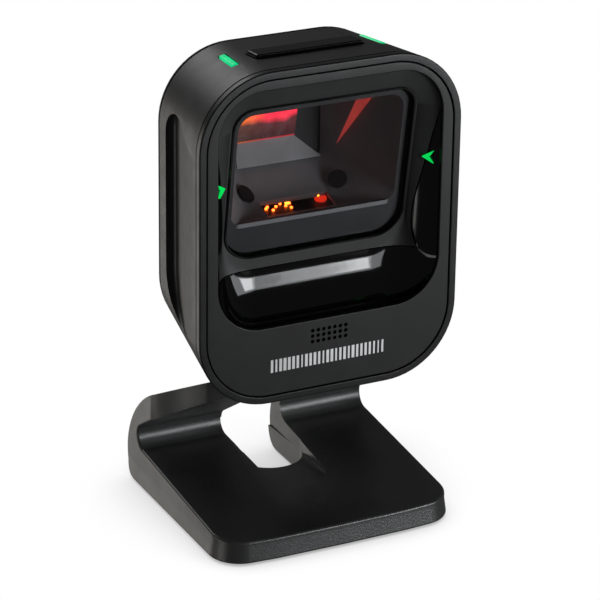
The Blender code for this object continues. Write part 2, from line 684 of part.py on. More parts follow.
# ---- hinge bracket and button ------------------------------------------------------------
def make_bracket(coll, cutters, mats, parent):
    """Pressed steel bracket: a bridge over the arm with two ears on the pin."""
    low_t, high_t = 0.0066, 0.0196
    holes = [arc((x, y), 0.0012, 0, 324, 9) for x, y in BRACKET_SCREWS]
    bridge = [rounded_outline(0.0290, FACE_Y + low_t, FACE_Y + high_t, 0.002, 0.002, 2)]
    bracket = plate("hinge_bracket", bridge + holes, 0.0014, (0, 0, 0.0593), "flat", coll)
    for side, sign in (("left", -1), ("right", 1)):
        ear = [(0.0044, 0.0080), (-0.0044, 0.0080)]
        ear += arc((0, 0), 0.0044, 180, 360, 10)
        x = sign * (KNUCKLE_HALF + 0.0021)
        ear_plate = plate("add_ear_" + side, [ear], 0.0018, (x, AXIS_Y, AXIS_Z), "side", cutters)
        cut(bracket, ear_plate, "UNION")
    bore = cylinder("cut_ear_bore", PIN_R + GAP, 0.06, (0, AXIS_Y, AXIS_Z), "X", cutters, 16)
    cut(bracket, bore)
    finish(bracket, mats["steel"], parent)
    for i, (x, y) in enumerate(BRACKET_SCREWS):
        head = cylinder("bracket_screw_%d" % (i + 1), 0.0020, 0.0012, (x, y, 0.0609), "Z", coll,
                        14)
        shank = cylinder("add_bracket_shank_%d" % (i + 1), 0.0008, 0.0055, (x, y, 0.0580), "Z",
                         cutters, 10)
        cut(head, shank, "UNION")
        finish(head, mats["screw"], parent)


def make_button(coll, cutters, mat, parent):
    low_t, high_t = BUTTON_T
    middle_t = (low_t + high_t) / 2
    half_t = (high_t - low_t) / 2
    bar = box("top_button", (-BUTTON_HALF, -half_t, 0.0), (BUTTON_HALF, half_t, 0.0050), coll)
    bar.data.transform(bar.matrix_basis)
    bar.location = (0, 0, 0)
    for vert in bar.data.vertices:
        if vert.co.z > 0.004:
            vert.co.z -= vert.co.y * TOP_TAPER / HEAD_T
            vert.co.x *= 0.965
    bar.location = (0, FACE_Y + middle_t, BUTTON_TOP_Z - 0.0050)
    flange = box("add_button_flange", (-BUTTON_HALF - 0.002, FACE_Y + low_t - 0.0015, 0.1453),
                 (BUTTON_HALF + 0.002, FACE_Y + high_t + 0.0015, 0.1469), cutters)
    cut(bar, flange, "UNION")
    return finish(bar, mat, parent)


# ---- assembly ----------------------------------------------------------------------------
def make_materials():
    return {
        "stand": material("stand_plastic", (0.030, 0.030, 0.031), 0.42),
        "housing": material("housing_plastic", (0.034, 0.033, 0.032), 0.50),
        "rim": material("rim_plastic", (0.020, 0.021, 0.022), 0.40),
        "bezel": material("bezel_plastic", (0.022, 0.022, 0.022), 0.55),
        "matte": material("matte_plastic", (0.030, 0.030, 0.031), 0.60),
        "gloss": material("gloss_plastic", (0.006, 0.006, 0.007), 0.08),
        "window": material("window_plastic", (0.10, 0.10, 0.11), 0.05, 0.0, 0.35),
        "mirror": material("mirror", (0.85, 0.85, 0.85), 0.03, 1.0),
        "green": material("green_guide", (0.02, 0.60, 0.25), 0.30, 0.0, 1.0, (0.02, 0.9, 0.35)),
        "lamp": material("red_lamp", (0.80, 0.05, 0.01), 0.30, 0.0, 1.0, (1.0, 0.08, 0.01)),
        "board": material("board", (0.02, 0.09, 0.05), 0.55),
        "socket": material("socket_plastic", (0.02, 0.02, 0.02), 0.55),
        "steel": material("steel", (0.60, 0.60, 0.61), 0.35, 1.0),
        "screw": material("screw_steel", (0.30, 0.30, 0.31), 0.35, 1.0),
        "rubber": material("rubber", (0.03, 0.03, 0.03), 0.85),
    }


def empty(name, place, coll, parent=None):
    obj = bpy.data.objects.new(name, None)
    obj.location = place
    coll.objects.link(obj)
    bpy.context.view_layer.update()
    if parent:
        obj.parent = parent
        obj.matrix_parent_inverse = parent.matrix_world.inverted()
    bpy.context.view_layer.update()
    return obj


def main():
    clear_scene()
    coll = collection("barcode_scanner")
    cutters = collection("cutters")
    mats = make_materials()
    stand = empty("stand_origin", (0, 0, 0), coll)
    head = empty("tilt_axis", (0, AXIS_Y, AXIS_Z), coll, stand)
    make_stand_shell(coll, cutters, mats["stand"], stand)
    make_base_inside(coll, cutters, mats, stand)
    make_hinge_on_stand(coll, mats, stand)
    make_front_rim(coll, cutters, mats["rim"], head)
    make_front_bezel(coll, mats["bezel"], head)
    make_rear_housing(coll, cutters, mats["housing"], head)
    make_rear_cover(coll, cutters, mats, head)
    make_cable_socket(coll, cutters, mats["socket"], head)
    make_dish(coll, cutters, mats, head)
    make_scan_window(coll, mats["window"], head)
    make_optics(coll, cutters, mats, head)
    make_electronics(coll, mats, head)
    make_lights(coll, mats, head)
    make_bracket(coll, cutters, mats, head)
    make_button(coll, cutters, mats["rim"], head)
    bpy.context.view_layer.update()


main()
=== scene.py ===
"""Hands-free presentation barcode scanner: its looks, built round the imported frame.

Metres, +Z up, in the frame's own coordinates.  Depths in the head (t) are counted from the
front face of the rim, towards +Y.
"""
import json
import math

import bmesh
import bpy
from mathutils import Euler, Matrix, Vector


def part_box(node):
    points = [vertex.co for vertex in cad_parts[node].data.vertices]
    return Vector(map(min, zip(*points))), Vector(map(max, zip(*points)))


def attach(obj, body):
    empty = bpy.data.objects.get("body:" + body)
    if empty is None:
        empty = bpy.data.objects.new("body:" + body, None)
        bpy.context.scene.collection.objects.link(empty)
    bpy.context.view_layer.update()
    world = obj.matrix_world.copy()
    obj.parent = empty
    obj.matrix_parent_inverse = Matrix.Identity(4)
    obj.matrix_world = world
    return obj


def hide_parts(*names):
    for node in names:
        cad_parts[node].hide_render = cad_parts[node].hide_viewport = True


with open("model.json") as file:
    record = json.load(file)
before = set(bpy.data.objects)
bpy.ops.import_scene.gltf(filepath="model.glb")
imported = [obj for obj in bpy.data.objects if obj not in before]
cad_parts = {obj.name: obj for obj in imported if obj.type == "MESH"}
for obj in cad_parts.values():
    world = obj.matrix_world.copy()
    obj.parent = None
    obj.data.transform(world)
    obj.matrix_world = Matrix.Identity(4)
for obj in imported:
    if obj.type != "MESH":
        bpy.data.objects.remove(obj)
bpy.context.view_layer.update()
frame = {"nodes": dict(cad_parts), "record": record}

# ---- sizes
rim_low, rim_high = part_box("front_rim")
bezel_low, bezel_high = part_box("front_bezel")
house_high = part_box("rear_housing")[1]
cover_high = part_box("rear_cover")[1]
pane_low, pane_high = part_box("scan_window")
shell_low, shell_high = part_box("stand_shell")
button_low, button_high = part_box("top_button")
socket_low, socket_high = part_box("cable_socket")
pin_low, pin_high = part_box("hinge_pin")

FACE_Y = rim_low.y
HEAD_LOW = rim_low.z
HEAD_HIGH = rim_high.z
HEAD_T = house_high.y - FACE_Y
RIM_DEPTH = rim_high.y - FACE_Y
HEAD_R = 0.0232
SIDE_TAPER = 0.0049
TOP_TAPER = 0.0030
BOTTOM_TAPER = 0.0071
RADIUS_TAPER = 0.0005
RIM_BAND = 0.0024
WIDEST_T = 0.0006              # depth at which the rim's box is taken as widest
HEAD_HALF = rim_high.x + SIDE_TAPER * WIDEST_T / HEAD_T
GAP = 0.0003
BEZEL_FRONT_T = bezel_low.y - FACE_Y
BEZEL_BACK_T = bezel_high.y - FACE_Y

OPENING_HALF = 0.0367
OPENING_LOW = 0.0718
OPENING_HIGH = 0.1463
OPENING_R = 0.0145

PANE_HALF = pane_high.x
PANE_LOW = pane_low.z
PANE_HIGH = pane_high.z
PANE_T_LOW = 0.0122
PANE_T_HIGH = pane_low.y - FACE_Y
PANE_R_LOW = 0.0090
PANE_R_HIGH = 0.0060
PANE_THICK = 0.0012

AXIS_Y = (pin_low.y + pin_high.y) / 2
AXIS_Z = (pin_low.z + pin_high.z) / 2
KNUCKLE_R = 0.0046
KNUCKLE_HALF = 0.0150
PIN_R = (pin_high.z - pin_low.z) / 2

CORNER_STEPS = 16


# ---- outlines
def arc(centre, radius, start, end, steps):
    """Points on an arc, angles in degrees, both ends included."""
    points = []
    for i in range(steps + 1):
        angle = math.radians(start + (end - start) * i / steps)
        points.append((centre[0] + radius * math.cos(angle), centre[1] + radius * math.sin(angle)))
    return points


def bezier(p0, p1, p2, p3, steps):
    """Points on a cubic curve, both ends included."""
    points = []
    for i in range(steps + 1):
        s = i / steps
        weights = ((1 - s) ** 3, 3 * s * (1 - s) ** 2, 3 * s * s * (1 - s), s ** 3)
        points.append(tuple(sum(w * p[k] for w, p in zip(weights, (p0, p1, p2, p3)))
                            for k in (0, 1)))
    return points


def quarter_round(radius, angles):
    """Steps (aside, inwards) down a rounded edge, one for each angle in degrees."""
    return [(radius * (1 - math.sin(math.radians(a))), radius * (1 - math.cos(math.radians(a))))
            for a in angles]


def rounded_outline(half, low, high, r_low, r_high, steps=CORNER_STEPS):
    """A rounded rectangle in (x, z), anticlockwise from its lower right corner."""
    points = arc((half - r_low, low + r_low), r_low, -90, 0, steps)
    points += arc((half - r_high, high - r_high), r_high, 0, 90, steps)
    points += arc((-half + r_high, high - r_high), r_high, 90, 180, steps)
    points += arc((-half + r_low, low + r_low), r_low, 180, 270, steps)
    return points


def leaning_ring(half, low, high, r_low, r_high, t_low, t_high, steps=CORNER_STEPS):
    """A rounded rectangle in the head, from depth t_low at its foot to t_high at its top."""
    points = []
    for x, z in rounded_outline(half, low, high, r_low, r_high, steps):
        share = (z - low) / (high - low)
        points.append((x, FACE_Y + t_low + (t_high - t_low) * share, z))
    return points


def head_bounds(t):
    """Half width, lowest, highest and corner radius of the head's outside at depth t."""
    share = t / HEAD_T
    half = HEAD_HALF - SIDE_TAPER * share
    low = HEAD_LOW + BOTTOM_TAPER * share
    high = HEAD_HIGH - TOP_TAPER * share
    return half, low, high, HEAD_R - RADIUS_TAPER * share


def head_ring(t, inset=0.0, shape_t=None):
    """The head's outline at depth t, drawn in by inset; shape_t keeps another depth's size."""
    half, low, high, radius = head_bounds(t if shape_t is None else shape_t)
    radius = radius - inset
    return leaning_ring(half - inset, low + inset, high - inset, radius, radius, t, t)


def pane_t(z):
    """Depth of the window's plane at height z."""
    share = (z - PANE_LOW) / (PANE_HIGH - PANE_LOW)
    return PANE_T_LOW + (PANE_T_HIGH - PANE_T_LOW) * share


def pane_ring(inset, depth):
    """The window's outline drawn in by inset and set back by depth."""
    ring = leaning_ring(PANE_HALF - inset, PANE_LOW + inset, PANE_HIGH - inset,
                        PANE_R_LOW - inset, PANE_R_HIGH - inset, PANE_T_LOW, PANE_T_HIGH)
    return [(x, y + depth, z) for x, y, z in ring]


# ---- meshes
def join_loops(bm, loops):
    """Close each loop of vertices to the next one with quads."""
    for near, far in zip(loops, loops[1:]):
        for i in range(len(near)):
            j = (i + 1) % len(near)
            bm.faces.new((near[i], near[j], far[j], far[i]))


def mesh_object(name, bm):
    mesh = bpy.data.meshes.new(name)
    bm.to_mesh(mesh)
    bm.free()
    obj = bpy.data.objects.new(name, mesh)
    bpy.context.scene.collection.objects.link(obj)
    return obj


def bake(obj):
    """Turn what the modifiers show into a plain mesh."""
    graph = bpy.context.evaluated_depsgraph_get()
    mesh = bpy.data.meshes.new_from_object(obj.evaluated_get(graph))
    obj.modifiers.clear()
    obj.data = mesh
    return obj


def skin(name, rings, ends=True, closed=False):
    """Skin a list of equal rings; closed joins the last ring to the first."""
    bm = bmesh.new()
    loops = [[bm.verts.new(point) for point in ring] for ring in rings]
    join_loops(bm, loops + loops[:1] if closed else loops)
    if ends and not closed:
        bm.faces.new(loops[0])
        bm.faces.new(list(reversed(loops[-1])))
    if ends or closed:
        bmesh.ops.recalc_face_normals(bm, faces=bm.faces)
    return mesh_object(name, bm)


def prism(name, outline, low, high, facing):
    """An outline pushed from low to high.

    facing: "flat" reads (x, y) and rises, "front" reads (x, z), "side" reads (y, z).
    """
    place = {"flat": lambda u, v, w: (u, v, w), "front": lambda u, v, w: (u, w, v),
             "side": lambda u, v, w: (w, u, v)}[facing]
    rings = [[place(u, v, w) for u, v in outline] for w in (low, high)]
    return skin(name, rings)


def block(name, low, high):
    return prism(name, [(low[0], low[1]), (high[0], low[1]), (high[0], high[1]),
                        (low[0], high[1])], low[2], high[2], "flat")


def rod(name, radius, centre, half_length, axis, sides=32):
    """A round bar along x, y or z."""
    u, v = {"x": (1, 2), "y": (0, 2), "z": (0, 1)}[axis]
    w = {"x": 0, "y": 1, "z": 2}[axis]
    outline = arc((centre[u], centre[v]), radius, 0, 360 - 360 / sides, sides - 1)
    facing = {"x": "side", "y": "front", "z": "flat"}[axis]
    return prism(name, outline, centre[w] - half_length, centre[w] + half_length, facing)


def turned(obj, turn):
    """Turn or move a mesh by a matrix, leaving its object at the origin."""
    obj.data.transform(turn)
    return obj


def carve(obj, cutter, operation="DIFFERENCE"):
    """Cut obj with a cutter, join it to one, or keep only what is inside it."""
    modifier = obj.modifiers.new("carve", "BOOLEAN")
    modifier.operation = operation
    modifier.solver = "EXACT"
    modifier.object = cutter
    bake(obj)
    bpy.data.objects.remove(cutter)
    return obj


def thicken(obj, thickness):
    modifier = obj.modifiers.new("wall", "SOLIDIFY")
    modifier.thickness = thickness
    modifier.offset = -1.0
    modifier.use_even_offset = True
    return bake(obj)


def weld(obj, distance):
    """Close up the tiny edges that a carve leaves, so that rounding can follow."""
    bm = bmesh.new()
    bm.from_mesh(obj.data)
    bmesh.ops.remove_doubles(bm, verts=bm.verts, dist=distance)
    bmesh.ops.dissolve_degenerate(bm, edges=bm.edges, dist=distance)
    bm.to_mesh(obj.data)
    bm.free()


def soften(obj, width, segments=2, angle=40.0, clamp=True):
    """Round every edge sharper than angle."""
    bm = bmesh.new()
    bm.from_mesh(obj.data)
    bmesh.ops.remove_doubles(bm, verts=bm.verts, dist=0.000005)
    bmesh.ops.dissolve_limit(bm, angle_limit=math.radians(0.5), verts=bm.verts, edges=bm.edges)
    bm.to_mesh(obj.data)
    bm.free()
    modifier = obj.modifiers.new("edge", "BEVEL")
    modifier.width = width
    modifier.segments = segments
    modifier.limit_method = "ANGLE"
    modifier.angle_limit = math.radians(angle)
    modifier.use_clamp_overlap = clamp
    modifier.miter_outer = "MITER_ARC"
    return bake(obj)


def settle(obj, material, body, nodes, angle=32.0):
    """Finish a piece: its shading, its material, its body and the nodes that it stands for."""
    obj.data.materials.clear()
    obj.data.materials.append(material)
    obj.data.shade_smooth()
    obj.data.set_sharp_from_angle(angle=math.radians(angle))
    modifier = obj.modifiers.new("normals", "WEIGHTED_NORMAL")
    modifier.keep_sharp = True
    bake(obj)
    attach(obj, body)
    if nodes:
        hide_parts(*nodes)
    return obj


# ---- materials
class Recipe:
    """A material's node tree, with short calls for what every finish uses."""

    def __init__(self, name):
        self.material = bpy.data.materials.new(name)
        self.material.use_nodes = True
        self.tree = self.material.node_tree
        self.shader = self.tree.nodes["Principled BSDF"]
        self.coords = self.add("ShaderNodeTexCoord").outputs["Object"]

    def add(self, kind, **settings):
        node = self.tree.nodes.new(kind)
        for key, value in settings.items():
            setattr(node, key, value)
        return node

    def feed(self, value, socket):
        if isinstance(value, bpy.types.NodeSocket):
            self.tree.links.new(value, socket)
        else:
            socket.default_value = value

    def noise(self, size, detail=2.0, rough=0.5):
        """Noise whose features are about size metres across."""
        node = self.add("ShaderNodeTexNoise")
        self.feed(self.coords, node.inputs["Vector"])
        node.inputs["Scale"].default_value = 1.0 / size
        node.inputs["Detail"].default_value = detail
        node.inputs["Roughness"].default_value = rough
        return node.outputs["Fac"]

    def spread(self, value, low, high, from_low=0.3, from_high=0.7):
        node = self.add("ShaderNodeMapRange")
        self.feed(value, node.inputs["Value"])
        node.inputs["From Min"].default_value = from_low
        node.inputs["From Max"].default_value = from_high
        node.inputs["To Min"].default_value = low
        node.inputs["To Max"].default_value = high
        return node.outputs["Result"]

    def blend(self, factor, first, second):
        node = self.add("ShaderNodeMix", data_type="RGBA")
        self.feed(factor, node.inputs[0])
        self.feed(first, node.inputs[6])
        self.feed(second, node.inputs[7])
        return node.outputs[2]

    def maths(self, operation, first, second=0.0):
        node = self.add("ShaderNodeMath", operation=operation)
        self.feed(first, node.inputs[0])
        self.feed(second, node.inputs[1])
        return node.outputs[0]

    def edge(self, radius):
        """Near 1 on edges rounder than radius, 0 on flats."""
        bevel = self.add("ShaderNodeBevel", samples=4)
        bevel.inputs["Radius"].default_value = radius
        geometry = self.add("ShaderNodeNewGeometry")
        dot = self.add("ShaderNodeVectorMath", operation="DOT_PRODUCT")
        self.feed(bevel.outputs["Normal"], dot.inputs[0])
        self.feed(geometry.outputs["Normal"], dot.inputs[1])
        return self.spread(dot.outputs["Value"], 1.0, 0.0, 0.86, 0.995)

    def bump(self, height, distance):
        node = self.add("ShaderNodeBump")
        node.inputs["Strength"].default_value = 1.0
        node.inputs["Distance"].default_value = distance
        self.feed(height, node.inputs["Height"])
        self.feed(node.outputs["Normal"], self.shader.inputs["Normal"])


def grey(level, warm=0.0):
    return (level * (1 + warm), level, level * (1 - warm), 1.0)


def dimmed(colour, share):
    return tuple(c * share for c in colour[:3]) + (1.0,)


def moulded(name, colour, roughness, grain, depth, wear=0.0, specular=0.5):
    """Moulded plastic: a fine spark-eroded grain, uneven gloss and handled edges."""
    make = Recipe(name)
    tone = make.spread(make.noise(0.018, 3.0), 0.0, 1.0)
    shade = make.blend(tone, dimmed(colour, 0.86), dimmed(colour, 1.14))
    gloss = make.spread(make.noise(0.006, 4.0, 0.6), roughness * 0.90, roughness * 1.10)
    if wear:
        rub = make.maths("MULTIPLY", make.edge(0.0005), make.spread(make.noise(0.0022), 0.3, 1.0))
        rub = make.maths("MULTIPLY", rub, wear)
        worn = tuple(min(c * 2.2 + 0.012, 1.0) for c in colour[:3]) + (1.0,)
        shade = make.blend(rub, shade, worn)
        gloss = make.maths("SUBTRACT", gloss, make.maths("MULTIPLY", rub, 0.10))
    make.feed(shade, make.shader.inputs["Base Color"])
    make.feed(gloss, make.shader.inputs["Roughness"])
    make.shader.inputs["Specular IOR Level"].default_value = specular
    make.bump(make.noise(grain, 2.0, 0.6), depth)
    return make.material


def polished(name, colour, roughness):
    """High-gloss plastic: a mirror skin with a trace of haze, orange peel and dust."""
    make = Recipe(name)
    haze = make.spread(make.noise(0.012, 4.0, 0.65), roughness * 0.7, roughness * 1.6)
    dust = make.spread(make.noise(0.0005, 3.0, 0.7), 0.0, 1.0, 0.70, 0.82)
    make.feed(make.blend(dust, colour, grey(0.030)), make.shader.inputs["Base Color"])
    make.feed(make.maths("ADD", haze, make.maths("MULTIPLY", dust, 0.10)),
              make.shader.inputs["Roughness"])
    make.shader.inputs["Specular IOR Level"].default_value = 0.38
    make.bump(make.noise(0.0040, 1.0), 0.000006)
    return make.material


def metal(name, colour, roughness):
    """Plated steel with fine drawn marks and darker smudges."""
    make = Recipe(name)
    smudge = make.spread(make.noise(0.0016, 4.0, 0.6), 0.0, 1.0)
    make.feed(make.blend(smudge, colour, dimmed(colour, 0.72)),
              make.shader.inputs["Base Color"])
    make.feed(make.spread(make.noise(0.0007, 3.0), roughness * 0.8, roughness * 1.3),
              make.shader.inputs["Roughness"])
    make.shader.inputs["Metallic"].default_value = 1.0
    make.bump(make.noise(0.00018, 2.0), 0.000004)
    return make.material


def lit_plastic(name, colour, glow, strength):
    """Clear tinted plastic lit from inside, its glow clouded at random."""
    make = Recipe(name)
    cloud = make.spread(make.noise(0.0060, 1.0), 0.0, 1.0)
    make.feed(make.blend(cloud, colour, dimmed(colour, 0.70)),
              make.shader.inputs["Base Color"])
    make.feed(make.spread(make.noise(0.0009), 0.18, 0.34), make.shader.inputs["Roughness"])
    make.feed(make.blend(cloud, glow, dimmed(glow, 0.80)),
              make.shader.inputs["Emission Color"])
    make.shader.inputs["Emission Strength"].default_value = strength
    make.shader.inputs["Specular IOR Level"].default_value = 0.2
    make.bump(make.noise(0.0004), 0.000008)
    return make.material


def lit_mirror(name):
    """Mirror with a painted reflection of the lamps: a glow on its upper edge, a thin line at its
    foot.
    """
    make = Recipe(name)
    smear = make.spread(make.noise(0.0030, 3.0), 0.0, 1.0)
    make.feed(make.blend(smear, grey(0.16), grey(0.30)), make.shader.inputs["Base Color"])
    make.shader.inputs["Metallic"].default_value = 0.6
    make.feed(make.spread(make.noise(0.0040, 3.0), 0.12, 0.30),
              make.shader.inputs["Roughness"])
    # Painted reflection of the lamps: emission laid on the mirror by height, brightest at the top
    # edge, a thin line at the foot and a faint rise between, red to orange across x.
    axes = make.add("ShaderNodeSeparateXYZ")
    make.feed(make.coords, axes.inputs[0])
    wave = make.maths("MULTIPLY", make.noise(0.0060, 1.0), 0.0040)
    height = make.maths("ADD", axes.outputs["Z"], wave)
    top = make.spread(height, 0.0, 1.0, 0.1248, 0.1272)
    foot = make.spread(axes.outputs["Z"], 1.0, 0.0, 0.1174, 0.1178)
    rise = make.spread(axes.outputs["Z"], 0.02, 0.12, 0.1172, 0.1262)
    glow = make.maths("ADD", make.maths("MAXIMUM", top, make.maths("MULTIPLY", foot, 0.45)),
                      rise)
    warm = make.spread(axes.outputs["X"], 1.0, 0.0, -0.0120, -0.0050)
    make.feed(make.blend(warm, (1.0, 0.010, 0.045, 1), (1.0, 0.16, 0.01, 1)),
              make.shader.inputs["Emission Color"])
    make.feed(make.maths("MULTIPLY", glow, 1.5), make.shader.inputs["Emission Strength"])
    make.bump(make.noise(0.0006, 2.0), 0.000006)
    return make.material


def circuit(name):
    """Green solder mask over copper lands."""
    make = Recipe(name)
    cells = make.add("ShaderNodeTexVoronoi", distance="CHEBYCHEV", feature="F1")
    make.feed(make.coords, cells.inputs["Vector"])
    cells.inputs["Scale"].default_value = 420.0
    land = make.spread(cells.outputs["Distance"], 1.0, 0.0, 0.20, 0.32)
    make.feed(make.blend(land, (0.010, 0.060, 0.030, 1.0), (0.028, 0.130, 0.060, 1.0)),
              make.shader.inputs["Base Color"])
    make.feed(make.spread(make.noise(0.0012), 0.35, 0.55), make.shader.inputs["Roughness"])
    make.bump(land, 0.00003)
    return make.material


def window_sheet(name):
    """Smoke-tinted window sheet: it lets the inside show and reflects the room a little."""
    make = Recipe(name)
    tree = make.tree
    make.feed(make.blend(make.spread(make.noise(0.015, 3.0), 0.0, 1.0), grey(0.002),
                         grey(0.006)), make.shader.inputs["Base Color"])
    make.feed(make.spread(make.noise(0.009, 4.0, 0.6), 0.02, 0.05),
              make.shader.inputs["Roughness"])
    make.bump(make.noise(0.008, 1.0), 0.000004)
    clear = make.add("ShaderNodeBsdfTransparent")
    clear.inputs["Color"].default_value = (0.90, 0.90, 0.91, 1.0)
    fresnel = make.add("ShaderNodeFresnel")
    fresnel.inputs["IOR"].default_value = 1.45
    share = make.maths("ADD", fresnel.outputs["Fac"], 0.03)
    mix = make.add("ShaderNodeMixShader")
    make.feed(share, mix.inputs[0])
    tree.links.new(clear.outputs[0], mix.inputs[1])
    tree.links.new(make.shader.outputs[0], mix.inputs[2])
    tree.links.new(mix.outputs[0], tree.nodes["Material Output"].inputs["Surface"])
    return make.material


MOULDED = {                    # colour, roughness, grain, grain depth, wear, specular level
    "stand_plastic": (grey(0.0240), 0.34, 0.00040, 0.000050, 0.35, 0.46),
    "housing_plastic": (grey(0.0080, 0.03), 0.44, 0.00030, 0.000014, 0.4),
    "rim_plastic": (grey(0.0045, -0.03), 0.36, 0.00024, 0.000008, 0.3, 0.28),
    "bezel_plastic": (grey(0.0060), 0.42, 0.00022, 0.000010, 0.2, 0.27),
    "matte_plastic": (grey(0.0125), 0.55, 0.00026, 0.000012, 0.25),
    "chamber_plastic": (grey(0.26), 0.50, 0.00030, 0.000012, 0.2),
    "flange_plastic": (grey(0.075), 0.42, 0.00030, 0.000010, 0.2),
    "socket_plastic": (grey(0.0080), 0.50, 0.00030, 0.000010, 0.3),
    "rubber": (grey(0.0120), 0.85, 0.00050, 0.000040),
    "button_plastic": (grey(0.0012), 0.24, 0.00020, 0.000006, 0.5, 0.12),
    "print_ink": (grey(0.66), 0.55, 0.00012, 0.000004),
}
LIT = {                        # body colour, glow colour, glow strength
    "green_guide": ((0.0, 0.06, 0.02, 1), (0.0, 1.0, 0.36, 1), 0.72),
    "green_lens": ((0.0, 0.06, 0.01, 1), (0.003, 1.0, 0.14, 1), 0.75),
    "red_lamp": ((0.4, 0.02, 0.0, 1), (1.0, 0.10, 0.01, 1), 14.0),
    "amber_lamp": ((0.5, 0.2, 0.0, 1), (1.0, 0.42, 0.03, 1), 6.0),
    "red_lens": ((0.4, 0.01, 0.0, 1), (1.0, 0.03, 0.01, 1), 1.1),
    # red_blade is painted light: the glow of a sheet that is no lamp.
    "red_blade": ((0.2, 0.02, 0.02, 1), (1.0, 0.10, 0.08, 1), 0.45),
}
FINISH = {name: moulded(name, *values) for name, values in MOULDED.items()}
FINISH.update({name: lit_plastic(name, *values) for name, values in LIT.items()})
FINISH.update({
    "gloss_plastic": polished("gloss_plastic", grey(0.0015), 0.06),
    "window_plastic": window_sheet("window_plastic"),
    "lit_mirror": lit_mirror("lit_mirror"),
    "steel": metal("steel", grey(0.42), 0.34),
    "screw_steel": metal("screw_steel", grey(0.16), 0.32),
    "board": circuit("board"),
})


# ---- repeated details by geometry nodes
class Group:
    """A geometry node group with named inputs, and short calls to add and join its nodes."""

    def __init__(self, name, sockets):
        self.group = bpy.data.node_groups.new(name, "GeometryNodeTree")
        face = self.group.interface
        face.new_socket("Geometry", in_out="INPUT", socket_type="NodeSocketGeometry")
        for label, kind in sockets.items():
            face.new_socket(label, in_out="INPUT", socket_type="NodeSocket" + kind)
        face.new_socket("Geometry", in_out="OUTPUT", socket_type="NodeSocketGeometry")
        self.given = self.group.nodes.new("NodeGroupInput").outputs
        self.sink = self.group.nodes.new("NodeGroupOutput")

    def add(self, kind, inputs, output=0, **settings):
        """Add a node, link or set its inputs, and return one of its outputs."""
        node = self.group.nodes.new(kind)
        for key, value in settings.items():
            setattr(node, key, value)
        for key, value in inputs.items():
            if isinstance(value, bpy.types.NodeSocket):
                self.group.links.new(value, node.inputs[key])
            else:
                node.inputs[key].default_value = value
        return node.outputs[output]

    def placed(self, points, part, **more):
        """Set part at every point and make the copies real."""
        place = self.add("GeometryNodeInstanceOnPoints",
                         {"Points": points, "Instance": part, **more})
        return self.add("GeometryNodeRealizeInstances", {0: place})

    def painted(self, geometry):
        """Give the geometry its Finish and close the group with it."""
        paint = self.add("GeometryNodeSetMaterial",
                         {"Geometry": geometry, "Material": self.given["Finish"]})
        self.group.links.new(paint, self.sink.inputs["Geometry"])
        return self.group


def run_nodes(obj, group, values):
    """Give obj the group with its named inputs set, and bake the result."""
    modifier = obj.modifiers.new(group.name, "NODES")
    modifier.node_group = group
    for item in group.interface.items_tree:
        if item.item_type == "SOCKET" and item.in_out == "INPUT" and item.name in values:
            modifier[item.identifier] = values[item.name]
    obj.update_tag()
    return bake(obj)


def placing_group():
    """Sets one part at every point of a mesh, turned the same way."""
    make = Group("place_at_points", {"Part": "Object", "Turn": "Vector", "Finish": "Material"})
    part = make.add("GeometryNodeObjectInfo",
                    {"As Instance": True, "Object": make.given["Part"]}, "Geometry")
    points = make.add("GeometryNodeMeshToPoints", {"Mesh": make.given["Geometry"]})
    turn = make.add("FunctionNodeEulerToRotation", {0: make.given["Turn"]})
    return make.painted(make.placed(points, part, Rotation=turn))


def grille_group():
    """Bores a grid of round holes through a standing plate."""
    make = Group("bore_grille", {
        "Columns": "Int", "Rows": "Int", "Pitch X": "Float", "Pitch Z": "Float",
        "Hole Radius": "Float", "Depth": "Float", "Centre": "Vector", "Finish": "Material"})
    given = make.given

    def span(count, pitch):
        gaps = make.add("ShaderNodeMath", {0: given[count], 1: 1.0}, operation="SUBTRACT")
        return make.add("ShaderNodeMath", {0: gaps, 1: given[pitch]}, operation="MULTIPLY")

    grid = make.add("GeometryNodeMeshGrid", {
        "Size X": span("Columns", "Pitch X"), "Size Y": span("Rows", "Pitch Z"),
        "Vertices X": given["Columns"], "Vertices Y": given["Rows"]}, "Mesh")
    points = make.add("GeometryNodeMeshToPoints", {"Mesh": grid})
    drill = make.add("GeometryNodeMeshCylinder", {
        "Vertices": 24, "Radius": given["Hole Radius"], "Depth": given["Depth"]}, "Mesh")
    drills = make.add("GeometryNodeTransform", {
        "Geometry": make.placed(points, drill), "Rotation": (math.pi / 2, 0.0, 0.0),
        "Translation": given["Centre"]})
    bored = make.add("GeometryNodeMeshBoolean", {"Mesh 1": given["Geometry"], "Mesh 2": drills},
                     "Mesh", operation="DIFFERENCE", solver="EXACT")
    return make.painted(bored)


def bars_group():
    """A row of upright bars of seeded widths, as a plain printed mark."""
    make = Group("row_of_bars", {
        "Bars": "Int", "Pitch": "Float", "Height": "Float", "Thickness": "Float",
        "Narrow": "Float", "Wide": "Float", "Seed": "Int", "Start": "Vector",
        "Finish": "Material"})
    given = make.given
    step = make.add("ShaderNodeCombineXYZ", {0: given["Pitch"]})
    line = make.add("GeometryNodeMeshLine", {
        "Count": given["Bars"], "Start Location": given["Start"], "Offset": step}, "Mesh")
    width = make.add("FunctionNodeRandomValue", {
        2: given["Narrow"], 3: given["Wide"], "Seed": given["Seed"]}, 1, data_type="FLOAT")
    size = make.add("ShaderNodeCombineXYZ",
                    {0: width, 1: given["Thickness"], 2: given["Height"]})
    cube = make.add("GeometryNodeMeshCube", {"Size": (1.0, 1.0, 1.0)}, "Mesh")
    return make.painted(make.placed(line, cube, Scale=size))


def points_object(name, points):
    bm = bmesh.new()
    for point in points:
        bm.verts.new(point)
    return mesh_object(name, bm)


